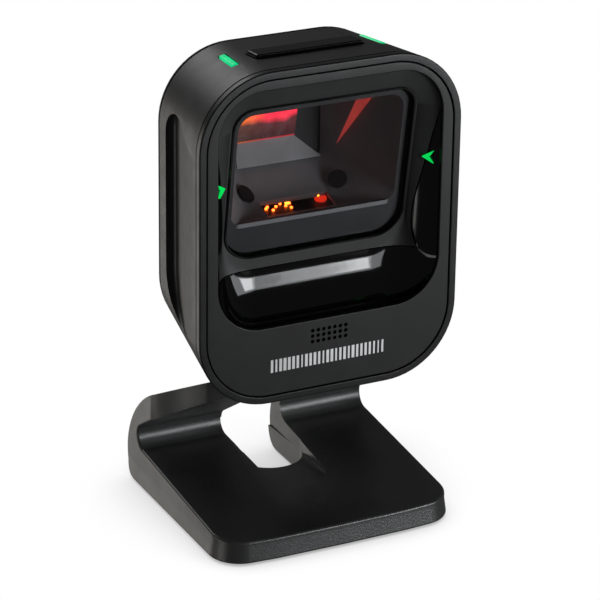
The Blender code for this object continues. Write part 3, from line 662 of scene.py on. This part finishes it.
# ---- stand
def stand_profile():
    """Side view of the bent plate in (y, z), from the front foot, round the bend, to the arm."""
    under = shell_low.z
    front = shell_low.y
    points = [(front, under)]
    points += bezier((0.0310, under), (0.0355, under), (0.0373, 0.0048), (0.0373, 0.0100), 10)
    points += bezier((0.0373, 0.0100), (0.0373, 0.0195), (0.0292, 0.0305), (0.0167, 0.0363), 18)[1:]
    points += [(-0.0092, 0.0502), (-0.0124, 0.0500), (-0.0128, 0.0474), (-0.0032, 0.0404)]
    points += arc((0.0249, 0.0174), 0.0041, 59, -85, 16)
    points += [(front, 0.0077)]
    return points


def base_plan(inset):
    """Plan of the base: round front corners and a slightly bowed front."""
    half = shell_high.x - inset
    radius = 0.0105 - inset
    bow = 0.0008
    shoulder_y = shell_low.y + bow + inset
    points = [(half, 0.06), (-half, 0.06)]
    points += arc((-half + radius, shoulder_y + radius), radius, 180, 265, 14)
    for i in range(1, 8):
        x = (half - radius) * (i / 4 - 1)
        points.append((x, shoulder_y - bow * (1 - (x / half) ** 2)))
    points += arc((half - radius, shoulder_y + radius), radius, 275, 360, 14)
    return points


def bullet(half, nose_y, back_y, nose=None, steps=24):
    """A slot outline open at the back, with a round nose at nose_y."""
    nose = nose or half
    return [(half, back_y), (-half, back_y)] + arc((0, nose_y + nose), nose, 180, 360, steps)


COVER_SCREWS = [sum(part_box("base_screw_%d" % i), Vector()) / 2 for i in range(1, 5)]
CABLE_HALF = 0.0103            # U-shaped cable opening
CABLE_FRONT_Y = 0.0044
DRAFT = 0.0009                 # how far the plan is drawn in above the foot
PLAN_TOP_Z = 0.060             # top of the solid that cuts the stand to its plan


def make_stand():
    """Base, bend and arm in one moulded shell, with the hinge knuckle at the arm's end."""
    shell = prism("stand_shell_skin", stand_profile(), -0.0410, 0.0410, "side")
    plan = [[(x, y, z) for x, y in base_plan(inset)]
            for inset, z in ((0.0, shell_low.z - 0.001), (DRAFT, 0.0060), (DRAFT, PLAN_TOP_Z))]
    carve(shell, skin("plan", plan), "INTERSECT")
    soften(shell, 0.0008, 4, 36, clamp=False)
    for sign in (-1, 1):
        flank = [(0.0450, 0.0230)] + bezier((0.0400, 0.0230), (0.0397, 0.0120),
                                            (0.0345, 0.0030), (0.0285, -0.0030), 12)
        flank += [(0.0180, -0.0068), (KNUCKLE_HALF, -0.0080), (KNUCKLE_HALF, -0.0200),
                  (0.0450, -0.0200)]
        carve(shell, prism("wedge", [(sign * x, y) for x, y in flank], 0.027, 0.067, "flat"))
    carve(shell, prism("slot", bullet(CABLE_HALF, CABLE_FRONT_Y, 0.05), -0.03, 0.09, "flat"))
    trough = prism("trough", bullet(0.0112, -0.0170, 0.04, 0.0095), -0.005, 0.005, "flat")
    turned(trough, Matrix.Translation((0, 0.0045, 0.0140))
           @ Matrix.Rotation(math.radians(-3.0), 4, "X"))
    carve(shell, trough)
    weld(shell, 0.00012)
    soften(shell, 0.0006, 3, 38)
    carve(shell, rod("knuckle", KNUCKLE_R, (0, AXIS_Y, AXIS_Z), KNUCKLE_HALF, "x", 48), "UNION")
    carve(shell, prism("pocket", rounded_outline(0.0360, -0.0332, 0.0012, 0.008, 0.003, 8),
                       -0.0008, 0.0052, "flat"))
    for spot in COVER_SCREWS:
        carve(shell, rod("hole", 0.0012, (spot.x, spot.y, 0.0052), 0.0020, "z", 16))
    for x in (-0.0290, 0.0290):
        carve(shell, rod("foot_seat", 0.0053, (x, 0.0200, -0.0005), 0.0020, "z"))
    carve(shell, rod("bore", PIN_R + GAP, (0, AXIS_Y, AXIS_Z), 0.025, "x", 24))
    settle(shell, FINISH["stand_plastic"], "stand", ["stand_shell"])


# ---- head shells
def make_rim():
    """Round-edged band that frames the front."""
    edge = 0.00055
    lip = 0.00022
    rings = []
    for aside, inwards in quarter_round(edge, range(0, 91, 15)):
        rings.append(head_ring(inwards, aside))
    rings.append(head_ring(RIM_DEPTH - lip))
    rings.append(head_ring(RIM_DEPTH, lip))
    rings.append(head_ring(RIM_DEPTH, RIM_BAND, 0.0))
    for aside, inwards in quarter_round(lip, range(0, 91, 30)):
        rings.append(head_ring(aside, RIM_BAND - inwards, 0.0))
    rim = skin("front_rim_band", rings, closed=True)
    settle(rim, FINISH["rim_plastic"], "head", ["front_rim"])


def inset_outline(shape, inset):
    half, low, high, radius = shape
    return rounded_outline(half - inset, low + inset, high - inset, radius - inset,
                           radius - inset)


def make_bezel():
    """Flat front plate: rounded edges, the wide opening and the speaker grille."""
    inset = RIM_BAND + GAP
    outer = (HEAD_HALF - inset, HEAD_LOW + inset, HEAD_HIGH - inset, HEAD_R - inset)
    opening = (OPENING_HALF, OPENING_LOW, OPENING_HIGH, OPENING_R)
    edge = 0.0003
    loops = []
    bm = bmesh.new()
    for shape, sign in ((outer, 1), (opening, -1)):
        steps = [(sign * aside, BEZEL_FRONT_T + inwards)
                 for aside, inwards in quarter_round(edge, range(0, 91, 30))]
        steps.append((0.0, BEZEL_BACK_T))
        rings = [[bm.verts.new((x, FACE_Y + t, z)) for x, z in inset_outline(shape, d)]
                 for d, t in steps]
        join_loops(bm, rings)
        loops.append(rings)
    for side in (0, -1):
        edges = []
        for rings in loops:
            ring = rings[side]
            edges += [bm.edges.get((ring[i], ring[(i + 1) % len(ring)]))
                      for i in range(len(ring))]
        bmesh.ops.triangle_fill(bm, use_beauty=True, edges=edges)
    bmesh.ops.recalc_face_normals(bm, faces=bm.faces)
    bezel = mesh_object("front_bezel_plate", bm)
    bezel.data.materials.append(FINISH["bezel_plastic"])
    run_nodes(bezel, grille_group(), {
        "Columns": 7, "Rows": 3, "Pitch X": 0.00186, "Pitch Z": 0.00178,
        "Hole Radius": 0.00062, "Depth": 0.008, "Centre": (0.0, FACE_Y, 0.0666),
        "Finish": FINISH["bezel_plastic"]})
    settle(bezel, FINISH["bezel_plastic"], "head", ["front_bezel"])
    mark = points_object("bar_mark", [(0, 0, 0)])
    run_nodes(mark, bars_group(), {
        "Bars": 27, "Pitch": 0.00143, "Height": 0.0041, "Thickness": 0.00006,
        "Narrow": 0.00038, "Wide": 0.00105, "Seed": 11,
        "Start": (-0.0190, FACE_Y + BEZEL_FRONT_T, 0.05915), "Finish": FINISH["print_ink"]})
    settle(mark, FINISH["print_ink"], "head", [])


def recess_outline():
    """Finger recess in the side, in (depth, z): it fades out at the front."""
    points = [(0.0060, 0.0660), (0.0185, 0.0682)]
    points += bezier((0.0185, 0.0682), (0.0262, 0.0705), (0.0325, 0.0745), (0.0328, 0.0830), 10)
    points += bezier((0.0328, 0.1260), (0.0328, 0.1325), (0.0270, 0.1345), (0.0215, 0.1332), 10)
    points += [(0.0060, 0.1265)]
    return points


def guide_block(name, sign, grow):
    """Bar of the green light guide, laid along the shoulder of the housing."""
    half = Vector((0.0011 + grow / 2, 0.0062 + grow / 2, 0.0016 + grow))
    guide = block(name, -half, half)
    turn = Euler((-math.atan(TOP_TAPER / HEAD_T), sign * math.radians(15.0),
                  sign * math.radians(5.0)))
    place = Matrix.Translation((sign * 0.0234, FACE_Y + 0.0214, 0.14815))
    return turned(guide, place @ turn.to_matrix().to_4x4())


BUTTON_T = (0.0155, 0.0224)
BUTTON_HALF = 0.0178


def make_housing():
    """Tapered sleeve with a finger recess in each side, open at the front and the back."""
    start = RIM_DEPTH + GAP
    back = 0.0006
    rings = [head_ring(start, 0.0003), head_ring(start + 0.0003), head_ring(HEAD_T - back)]
    for aside, inwards in quarter_round(back, (30, 60, 90)):
        rings.append(head_ring(HEAD_T - aside, inwards))
    housing = skin("rear_housing_shell", rings)
    wall = 0.0026
    pocket_t = 0.0150
    _, low, high, _ = head_bounds(start)
    carve(housing, skin("pocket", [
        leaning_ring(0.0394, low + wall, high - wall, 0.0178, 0.0178, 0.0, 0.0),
        leaning_ring(0.0374, low + wall + 0.002, high - wall - 0.001, 0.0170, 0.0170,
                     pocket_t, pocket_t)]))
    core = []
    for t in (pocket_t - 0.003, HEAD_T + 0.002):
        _, low, high, _ = head_bounds(t)
        core.append(leaning_ring(0.0338, low + wall, high - wall, 0.0170, 0.0170, t, t))
    carve(housing, skin("core", core))
    lean = math.atan(SIDE_TAPER / HEAD_T) + math.atan(0.0030 / 0.0240)
    pivot_t = 0.008
    outline = [(t - pivot_t, z) for t, z in recess_outline()]
    for sign, inner, outer in ((-1, -0.010, 0.0), (1, 0.0, 0.010)):
        recess = prism("recess", outline, inner, outer, "side")
        soften(recess, 0.0011, 4, 50)
        turned(recess, Matrix.Translation((sign * head_bounds(pivot_t)[0], FACE_Y + pivot_t, 0))
               @ Matrix.Rotation(sign * lean, 4, "Z"))
        carve(housing, recess)
    carve(housing, block("hinge_slot", (-0.0226, FACE_Y + 0.0052, 0.040),
                         (0.0226, FACE_Y + 0.0222, 0.0560)))
    carve(housing, block("button_slot",
                         (-BUTTON_HALF - GAP, FACE_Y + BUTTON_T[0] - GAP, 0.140),
                         (BUTTON_HALF + GAP, FACE_Y + BUTTON_T[1] + GAP, 0.160)))
    for sign in (-1, 1):
        carve(housing, guide_block("guide_seat", sign, 2 * GAP))
    weld(housing, 0.00025)
    soften(housing, 0.00028, 2, 34)
    settle(housing, FINISH["housing_plastic"], "head", ["rear_housing"])


REAR_SCREWS = [sum(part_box("rear_screw_%d" % i), Vector()) / 2 for i in range(1, 5)]


def make_cover():
    """Domed back with sunk screws and the mouth of the cable socket."""
    start = HEAD_T + GAP
    depth = cover_high.y - FACE_Y - start
    draw_in = 0.0110
    rings = [head_ring(start, 0.0003), head_ring(start + 0.0003)]
    for i in range(1, 13):
        a = math.pi / 2 * i / 12
        rings.append(head_ring(start + depth * math.sin(a), draw_in * (1 - math.cos(a))))
    cover = skin("rear_cover_shell", rings)
    inside = [head_ring(start - 0.002, 0.0022), head_ring(0.0420, 0.0034),
              head_ring(0.0434, 0.0058), head_ring(start + depth - 0.0020, 0.0112)]
    carve(cover, skin("inside", inside))
    back_y = cover_high.y
    for spot in REAR_SCREWS:
        carve(cover, rod("sink", 0.0027, (spot.x, back_y, spot.z), 0.0015, "y"))
        carve(cover, rod("hole", 0.0014, (spot.x, back_y, spot.z), 0.0040, "y"))
    carve(cover, block("mouth", (socket_low.x - GAP, back_y - 0.01, socket_low.z - GAP),
                       (socket_high.x + GAP, back_y + 0.01, socket_high.z + GAP)))
    soften(cover, 0.00025, 2, 40)
    settle(cover, FINISH["housing_plastic"], "head", ["rear_cover"])


def make_socket():
    """Modular socket for the data cable, with its row of contact springs."""
    back_y = socket_high.y
    socket = block("cable_socket_shell", socket_low, socket_high)
    carve(socket, block("mouth", (-0.0046, back_y - 0.0100, socket_low.z + 0.0014),
                        (0.0046, back_y + 0.0050, socket_high.z - 0.0022)))
    carve(socket, block("keyway", (-0.0020, back_y - 0.0070, socket_high.z - 0.0040),
                        (0.0020, back_y + 0.0050, socket_high.z - 0.0008)))
    soften(socket, 0.0002, 2, 40)
    settle(socket, FINISH["socket_plastic"], "head", ["cable_socket"])
    springs = points_object("socket_contacts", [(0, 0, 0)])
    run_nodes(springs, bars_group(), {
        "Bars": 8, "Pitch": 0.00102, "Height": 0.0005, "Thickness": 0.0080,
        "Narrow": 0.0004, "Wide": 0.0004, "Seed": 1,
        "Start": (-0.00357, back_y - 0.0055, socket_low.z + 0.00168),
        "Finish": FINISH["steel"]})
    settle(springs, FINISH["steel"], "head", [])


# ---- scan recess
DISH_STEPS = 16
DISH_FRONT_T = BEZEL_BACK_T + GAP
SCOOP_T = 0.0126
SCOOP_TOP_Z = 0.0860


def dish_rings(gap):
    """Rings of the recess: a quarter-round scoop at its foot, straight sides and top."""
    rings = []
    for i in range(DISH_STEPS + 1):
        angle = math.pi / 2 * i / DISH_STEPS
        share = 0.85 * math.sin(angle)
        low = 0.0714 + (SCOOP_TOP_Z - 0.0714) * (1 - math.cos(angle))
        half = 0.0371 + (PANE_HALF - 0.0371) * share
        high = 0.1467 + (PANE_HIGH - 0.1467) * share
        rings.append(leaning_ring(
            half, low, high, OPENING_R - 0.0030 * share,
            OPENING_R + (PANE_R_HIGH - OPENING_R) * share,
            DISH_FRONT_T + (SCOOP_T - DISH_FRONT_T) * math.sin(angle),
            DISH_FRONT_T + (PANE_T_HIGH - DISH_FRONT_T) * share))
    rings.append(leaning_ring(PANE_HALF + gap, PANE_LOW - gap, PANE_HIGH + gap, PANE_R_LOW,
                              PANE_R_HIGH, pane_t(PANE_LOW), pane_t(PANE_HIGH)))
    return rings


def shield_outline(grow):
    """Outline of the matte surround in (x, z): wide at the top, waisted beside the window."""
    half = bezier((0.0330, 0.0861), (0.0302, 0.0960), (0.0318, 0.1040), (0.0340, 0.1180), 10)
    half += bezier((0.0340, 0.1180), (0.0356, 0.1282), (0.0372, 0.1360), (0.0400, 0.1400), 8)[1:]
    half += [(0.0400, 0.1520)]
    right = [(x + grow, z - (grow if i == 0 else 0)) for i, (x, z) in enumerate(half)]
    return right + [(-x, z) for x, z in reversed(right)]


def make_recess():
    """The glossy scoop and, over it, the matte surround of the window."""
    for name, node, slot, grow, operation in (
            ("scoop_skin", "scoop_liner", "gloss_plastic", GAP, "DIFFERENCE"),
            ("window_surround", "window_frame", "matte_plastic", 0.0, "INTERSECT")):
        dish = skin(name, dish_rings(GAP), ends=False)
        thicken(dish, 0.0005)
        carve(dish, prism("shield", shield_outline(grow), FACE_Y - 0.015, FACE_Y + 0.035,
                          "front"), operation)
        settle(dish, FINISH[slot], "head", [node], 34)


def make_window():
    """Window sheet with a polished edge."""
    edge = 0.0002
    rings = [pane_ring(inset, depth) for inset, depth in (
        (edge, 0.0), (0.0, edge), (0.0, PANE_THICK - edge), (edge, PANE_THICK))]
    settle(skin("window_sheet", rings), FINISH["window_plastic"], "head",
           ["scan_window"])


# ---- optics
CHAMBER_FLOOR_Z = 0.1012
CHAMBER_TOP_Z = 0.1370
CHAMBER_BACK_T = 0.0370
PANE_CLEAR = 0.0018            # from the window's face to the light box


def make_light_box():
    """Bowl-shaped light box behind the window, with a dark flange round its mouth."""
    low_t = pane_t(CHAMBER_FLOOR_Z) + PANE_CLEAR
    high_t = pane_t(CHAMBER_TOP_Z) + PANE_CLEAR
    rim = 0.0008
    rings = [leaning_ring(PANE_HALF - rim, PANE_LOW + rim, PANE_HIGH - rim, PANE_R_LOW - rim,
                          PANE_R_HIGH - rim, pane_t(PANE_LOW + rim) + PANE_CLEAR,
                          pane_t(PANE_HIGH - rim) + PANE_CLEAR, 8),
             leaning_ring(0.0272, CHAMBER_FLOOR_Z, CHAMBER_TOP_Z, 0.0030, 0.0050, low_t, high_t,
                          8)]
    flange = skin("light_box_flange", rings, ends=False)
    thicken(flange, 0.0010)
    settle(flange, FINISH["flange_plastic"], "head", [], 25)
    rings = rings[1:]
    for t, half, low, high, r_low in ((0.0190, 0.0230, 0.0995, 0.1345, 0.0080),
                                      (0.0258, 0.0200, 0.1010, 0.1330, 0.0090),
                                      (CHAMBER_BACK_T, 0.0146, 0.1088, 0.1300, 0.0020)):
        rings.append(leaning_ring(half, low, high, r_low, 0.0020, t, t, 8))
    chamber = skin("light_box_shell", rings, ends=False)
    thicken(chamber, 0.0012)
    carve(chamber, block("lens_port", (-0.0115, FACE_Y + 0.0190, 0.095),
                         (0.0115, FACE_Y + 0.0262, 0.108)))
    settle(chamber, FINISH["chamber_plastic"], "head", ["light_box"], 25)


def make_bead():
    """Thin polished bead round the window sheet."""
    radius = 0.00042
    rings = []
    for i in range(10):
        a = 2 * math.pi * i / 10
        rings.append(pane_ring(-(0.00022 + radius * math.cos(a)),
                               -0.0001 - radius * math.sin(a)))
    settle(skin("window_bead", rings, closed=True), FINISH["gloss_plastic"], "head",
           [])


def back_slab(name, foot_x, top_x, low_z, high_z, faces):
    """A slab before the back wall; faces gives its distances from it at foot and top."""
    left_x = -0.0142
    back_y = FACE_Y + CHAMBER_BACK_T - 0.0001
    return skin(name, [[(left_x, back_y - low, low_z), (foot_x, back_y - low, low_z),
                        (top_x, back_y - high, high_z), (left_x, back_y - high, high_z)]
                       for low, high in faces])


def make_mirror():
    """Folding mirror on its sloping cradle at the back of the light box."""
    cradle = back_slab("mirror_cradle", 0.0142, 0.0052, 0.1092, 0.1170,
                       ((0.0016, 0.0003), (0.0, 0.0)))
    settle(cradle, FINISH["chamber_plastic"], "head", [], 25)
    mirror = back_slab("fold_mirror_plate", 0.0052, 0.0052, 0.1172, 0.1262,
                       ((0.0012, 0.0030), (0.0004, 0.0022)))
    settle(mirror, FINISH["lit_mirror"], "head", ["fold_mirror"], 25)


def lamp_domes(name, radius, half_height, rounding, steps, sides, points, finish, nodes):
    """One round lamp at each (x, depth, z)."""
    seed = rod("lamp_seed", radius, (0, 0, 0), half_height, "z", sides)
    soften(seed, rounding, steps, 40)
    lamps = points_object(name, [(x, FACE_Y + t, z) for x, t, z in points])
    run_nodes(lamps, PLACING, {"Part": seed, "Turn": (0.0, 0.0, 0.0), "Finish": FINISH[finish]})
    settle(lamps, FINISH[finish], "head", nodes)
    bpy.data.objects.remove(seed)


def make_lamps():
    """What glows behind the window: lamps on a tray, a lens and a blade of red light."""
    tray = block("lamp_tray", (-0.0122, FACE_Y + 0.0196, 0.0977),
                 (0.0122, FACE_Y + 0.0305, 0.0984))
    soften(tray, 0.0002, 2, 40)
    settle(tray, FINISH["socket_plastic"], "head", [])
    row = [(x, t, 0.0987) for x, t in (
        (-0.0088, 0.0262), (-0.0078, 0.0274), (-0.0072, 0.0245), (-0.0052, 0.0268),
        (-0.0030, 0.0285), (-0.0022, 0.0262), (-0.0012, 0.0243), (-0.0002, 0.0278))]
    lamp_domes("red_lamp_row_left", 0.00042, 0.0003, 0.00015, 2, 16, row, "red_lamp",
               ["red_lamp_left"])
    lens = rod("red_lamp_lens", 0.0019, (0.0096, FACE_Y + 0.0262, 0.0992), 0.0008, "z", 32)
    soften(lens, 0.0007, 4, 40)
    settle(lens, FINISH["red_lens"], "head", ["red_lamp_right"])
    lamp_domes("red_lamp_core", 0.0007, 0.0004, 0.0003, 3, 20,
               [(-0.0010, 0.0278, 0.0989), (0.0088, 0.0268, 0.1002)], "amber_lamp", [])
    # Painted light: the blade is a thin sheet that glows red and stands for red light; it is no
    # lamp.
    blade_front = [Vector((0.0205, FACE_Y + 0.0238, 0.1309)),
                   Vector((0.0231, FACE_Y + 0.0184, 0.1331)),
                   Vector((0.0172, FACE_Y + 0.0305, 0.1145))]
    inward = Vector((-0.84, -0.54, 0.0))
    blade = skin("red_light_blade", [[p + inward * 0.0006 for p in blade_front],
                                     [p + inward * 0.0003 for p in blade_front]])
    settle(blade, FINISH["red_blade"], "head", [])


# ---- lights, button and fastenings
def make_guides():
    """Green bars on the shoulders and a green arrow at each side of the window."""
    for side, sign in (("left", -1), ("right", 1)):
        guide = guide_block("light_guide_bar_" + side, sign, 0.0)
        soften(guide, 0.00070, 4, 40)
        settle(guide, FINISH["green_guide"], "head", ["light_guide_" + side])
        arrow = [(sign * u, v) for u, v in ((-0.0017, 0.0), (0.0019, -0.0020), (0.0008, -0.0003),
                                            (0.0003, 0.0000), (0.0008, 0.0003), (0.0019, 0.0020))]
        lens = prism("arrow_lamp_" + side, arrow, -0.0004, 0.0004, "front")
        soften(lens, 0.00010, 2, 40)
        turned(lens, Matrix.Translation((sign * 0.0339, FACE_Y + 0.0040, 0.1165))
               @ Matrix.Rotation(sign * math.radians(-38), 4, "Z"))
        settle(lens, FINISH["green_lens"], "head", ["arrow_lens_" + side])


def make_button():
    """Long bar on top, with a round upper edge and a hidden flange."""
    low_t, high_t = BUTTON_T
    middle_y = FACE_Y + (low_t + high_t) / 2
    half_t = (high_t - low_t) / 2
    top = button_high.z - half_t * TOP_TAPER / HEAD_T
    slope = TOP_TAPER / HEAD_T
    base = button_low.z

    def level(half_x, half_y, z, slope, radius):
        points = rounded_outline(half_x, -half_y, half_y, radius, radius, 6)
        return [(x, middle_y + v, z - v * slope) for x, v in points]

    rings = [level(BUTTON_HALF + 0.002, half_t + 0.0015, base, 0.0, 0.0008),
             level(BUTTON_HALF + 0.002, half_t + 0.0015, base + 0.0016, 0.0, 0.0008),
             level(BUTTON_HALF, half_t, base + 0.0016, 0.0, 0.0007),
             level(BUTTON_HALF, half_t, top - 0.0012, slope, 0.0007)]
    edge = 0.0004
    for angle in (0, 30, 60, 90):
        a = math.radians(angle)
        shrink = edge * (1 - math.cos(a))
        lean = 0.0004 + 0.0002 * math.sin(a)
        rings.append(level(BUTTON_HALF - lean - shrink, half_t - shrink,
                           top - edge * (1 - math.sin(a)), slope, 0.0007 - shrink))
    bar = skin("top_button_bar", rings)
    settle(bar, FINISH["button_plastic"], "button", ["top_button"])


def screw_seed(radius, height):
    """Round-headed screw with a cross recess; its head faces +Z, its seat is at 0."""
    rings = []
    for share, rise in ((0.94, 0.0), (1.0, 0.10), (1.0, 0.55), (0.90, 0.86), (0.72, 1.0)):
        rings.append([(x, y, rise * height)
                      for x, y in arc((0, 0), radius * share, 0, 348.75, 31)])
    seed = skin("screw_seed", rings)
    for turn in (0, 90):
        slot = block("cross", (-radius * 0.62, -radius * 0.12, height * 0.35),
                     (radius * 0.62, radius * 0.12, height * 1.5))
        carve(seed, turned(slot, Matrix.Rotation(math.radians(turn), 4, "Z")))
    return seed


def make_screws():
    sets = (("rear_screw_set", "rear_screw_%d", "head", 0.0023, 0.0010, (-math.pi / 2, 0, 0)),
            ("base_screw_set", "base_screw_%d", "stand", 0.0018, 0.0007, (math.pi, 0, 0)))
    for name, pattern, body, radius, height, turn in sets:
        seed = screw_seed(radius, height)
        spots = []
        for i in range(1, 5):
            low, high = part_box(pattern % i)
            mid = (low + high) / 2
            if body == "head":
                spots.append((mid.x, high.y - height, mid.z))
            else:
                spots.append((mid.x, mid.y, low.z + height))
        screws = points_object(name, spots)
        run_nodes(screws, PLACING, {"Part": seed, "Turn": turn, "Finish": FINISH["screw_steel"]})
        settle(screws, FINISH["screw_steel"], body,
               [pattern % i for i in range(1, 5)])
        bpy.data.objects.remove(seed)


# ---- carried-over nodes
def dress_nodes():
    """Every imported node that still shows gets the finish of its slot."""
    for part in frame["record"]["subparts"]:
        node = frame["nodes"][part["node"]]
        if not node.hide_render:
            for place in node.material_slots:
                place.material = FINISH[part["material_slot"]]


# ---- stage, light and camera
def make_floor():
    """Pale floor: even to the camera but for a soft contact shadow; it lights nothing."""
    bm = bmesh.new()
    bmesh.ops.create_grid(bm, x_segments=1, y_segments=1, size=4.0)
    floor = mesh_object("floor", bm)
    mat = bpy.data.materials.new("pale_floor")
    mat.use_nodes = True
    nodes, links = mat.node_tree.nodes, mat.node_tree.links
    shader = nodes["Principled BSDF"]
    shader.inputs["Base Color"].default_value = (0.25, 0.25, 0.25, 1.0)
    shader.inputs["Roughness"].default_value = 0.6
    near = nodes.new("ShaderNodeAmbientOcclusion")
    near.inputs["Distance"].default_value = 0.05
    near.samples = 8
    level = nodes.new("ShaderNodeMapRange")
    level.inputs["To Min"].default_value = 0.35
    level.inputs["To Max"].default_value = 1.0
    level.inputs["From Max"].default_value = 0.85
    links.new(near.outputs["AO"], level.inputs["Value"])
    glow = nodes.new("ShaderNodeEmission")
    links.new(level.outputs[0], glow.inputs["Color"])
    path = nodes.new("ShaderNodeLightPath")
    mix = nodes.new("ShaderNodeMixShader")
    links.new(path.outputs["Is Camera Ray"], mix.inputs[0])
    links.new(shader.outputs[0], mix.inputs[1])
    links.new(glow.outputs[0], mix.inputs[2])
    links.new(mix.outputs[0], nodes["Material Output"].inputs["Surface"])
    floor.data.materials.append(mat)
    for kind in ("glossy", "diffuse", "shadow", "transmission"):
        setattr(floor, "visible_" + kind, False)


LIGHT_AIM = Vector((0.0, 0.0, 0.09))
COOL = (0.96, 0.98, 1.0)
LIGHTS = (                     # name, place, size, power, colour
    ("left_box", (-0.48, 0.84, -0.22), (0.7, 0.5), 1.5, (1.0, 0.96, 0.90)),
    ("side_box", (-0.90, 0.18, 0.06), (0.5, 0.6), 0.9, (1.0, 0.97, 0.93)),
    ("flank_box", (-0.90, -0.06, -0.28), (0.34, 0.34), 0.8, (1.0, 0.98, 0.95)),
    ("back_box", (-0.16, 0.75, 0.62), (0.6, 0.3), 2.5, (1.0, 1.0, 1.0)),
    ("front_box", (0.53, -0.82, 0.11), (0.80, 0.38), 4.2, (0.95, 0.98, 1.0)),
    ("core_box", (0.49, -0.79, 0.09), (0.20, 0.28), 1.9, COOL),
    ("mid_box", (0.485, -0.80, 0.09), (0.26, 0.32), 1.1, COOL),
    ("low_box", (0.60, -0.68, -0.34), (0.5, 0.4), 0.2, (1.0, 1.0, 1.0)),
)


def soft_light(name, place, size, power, colour):
    data = bpy.data.lights.new(name, "AREA")
    data.shape = "RECTANGLE"
    data.size, data.size_y = size
    data.energy = power
    data.color = colour
    lamp = bpy.data.objects.new(name, data)
    bpy.context.scene.collection.objects.link(lamp)
    lamp.location = place
    lamp.rotation_euler = (LIGHT_AIM - Vector(place)).to_track_quat("-Z", "Y").to_euler()


def make_lights():
    world = bpy.data.worlds.new("studio")
    bpy.context.scene.world = world
    world.use_nodes = True
    nodes, links = world.node_tree.nodes, world.node_tree.links
    path = nodes.new("ShaderNodeLightPath")
    tone = nodes.new("ShaderNodeMix")
    tone.data_type = "RGBA"
    tone.inputs[6].default_value = (0.09, 0.09, 0.092, 1.0)
    tone.inputs[7].default_value = (1.0, 1.0, 1.0, 1.0)
    links.new(path.outputs["Is Camera Ray"], tone.inputs[0])
    links.new(tone.outputs[2], nodes["Background"].inputs["Color"])
    for light in LIGHTS:
        soft_light(*light)


def make_camera():
    azimuth = math.radians(-26.71)
    elevation = math.radians(23.10)
    roll = math.radians(0.81)
    distance = 0.9129
    aim = Vector((-0.01008, -0.0252, 0.07924))
    back = Vector((math.sin(azimuth) * math.cos(elevation),
                   -math.cos(azimuth) * math.cos(elevation), math.sin(elevation)))
    right = Vector((math.cos(azimuth), math.sin(azimuth), 0.0))
    up = back.cross(right)
    right_turned = math.cos(roll) * right + math.sin(roll) * up
    up_turned = math.cos(roll) * up - math.sin(roll) * right
    data = bpy.data.cameras.new("camera")
    data.sensor_width = 36.0
    data.lens = 184.5
    camera = bpy.data.objects.new("camera", data)
    bpy.context.scene.collection.objects.link(camera)
    turn = Matrix((right_turned, up_turned, back)).transposed().to_4x4()
    camera.matrix_world = Matrix.Translation(aim + back * distance) @ turn
    bpy.context.scene.camera = camera
    bpy.context.scene.view_settings.view_transform = "Standard"


# ---- assembly
make_camera()
make_lights()
make_floor()
PLACING = placing_group()
make_stand()
make_rim()
make_bezel()
make_housing()
make_cover()
make_socket()
make_recess()
make_window()
make_bead()
make_light_box()
make_mirror()
make_lamps()
make_guides()
make_button()
make_screws()

dress_nodes()
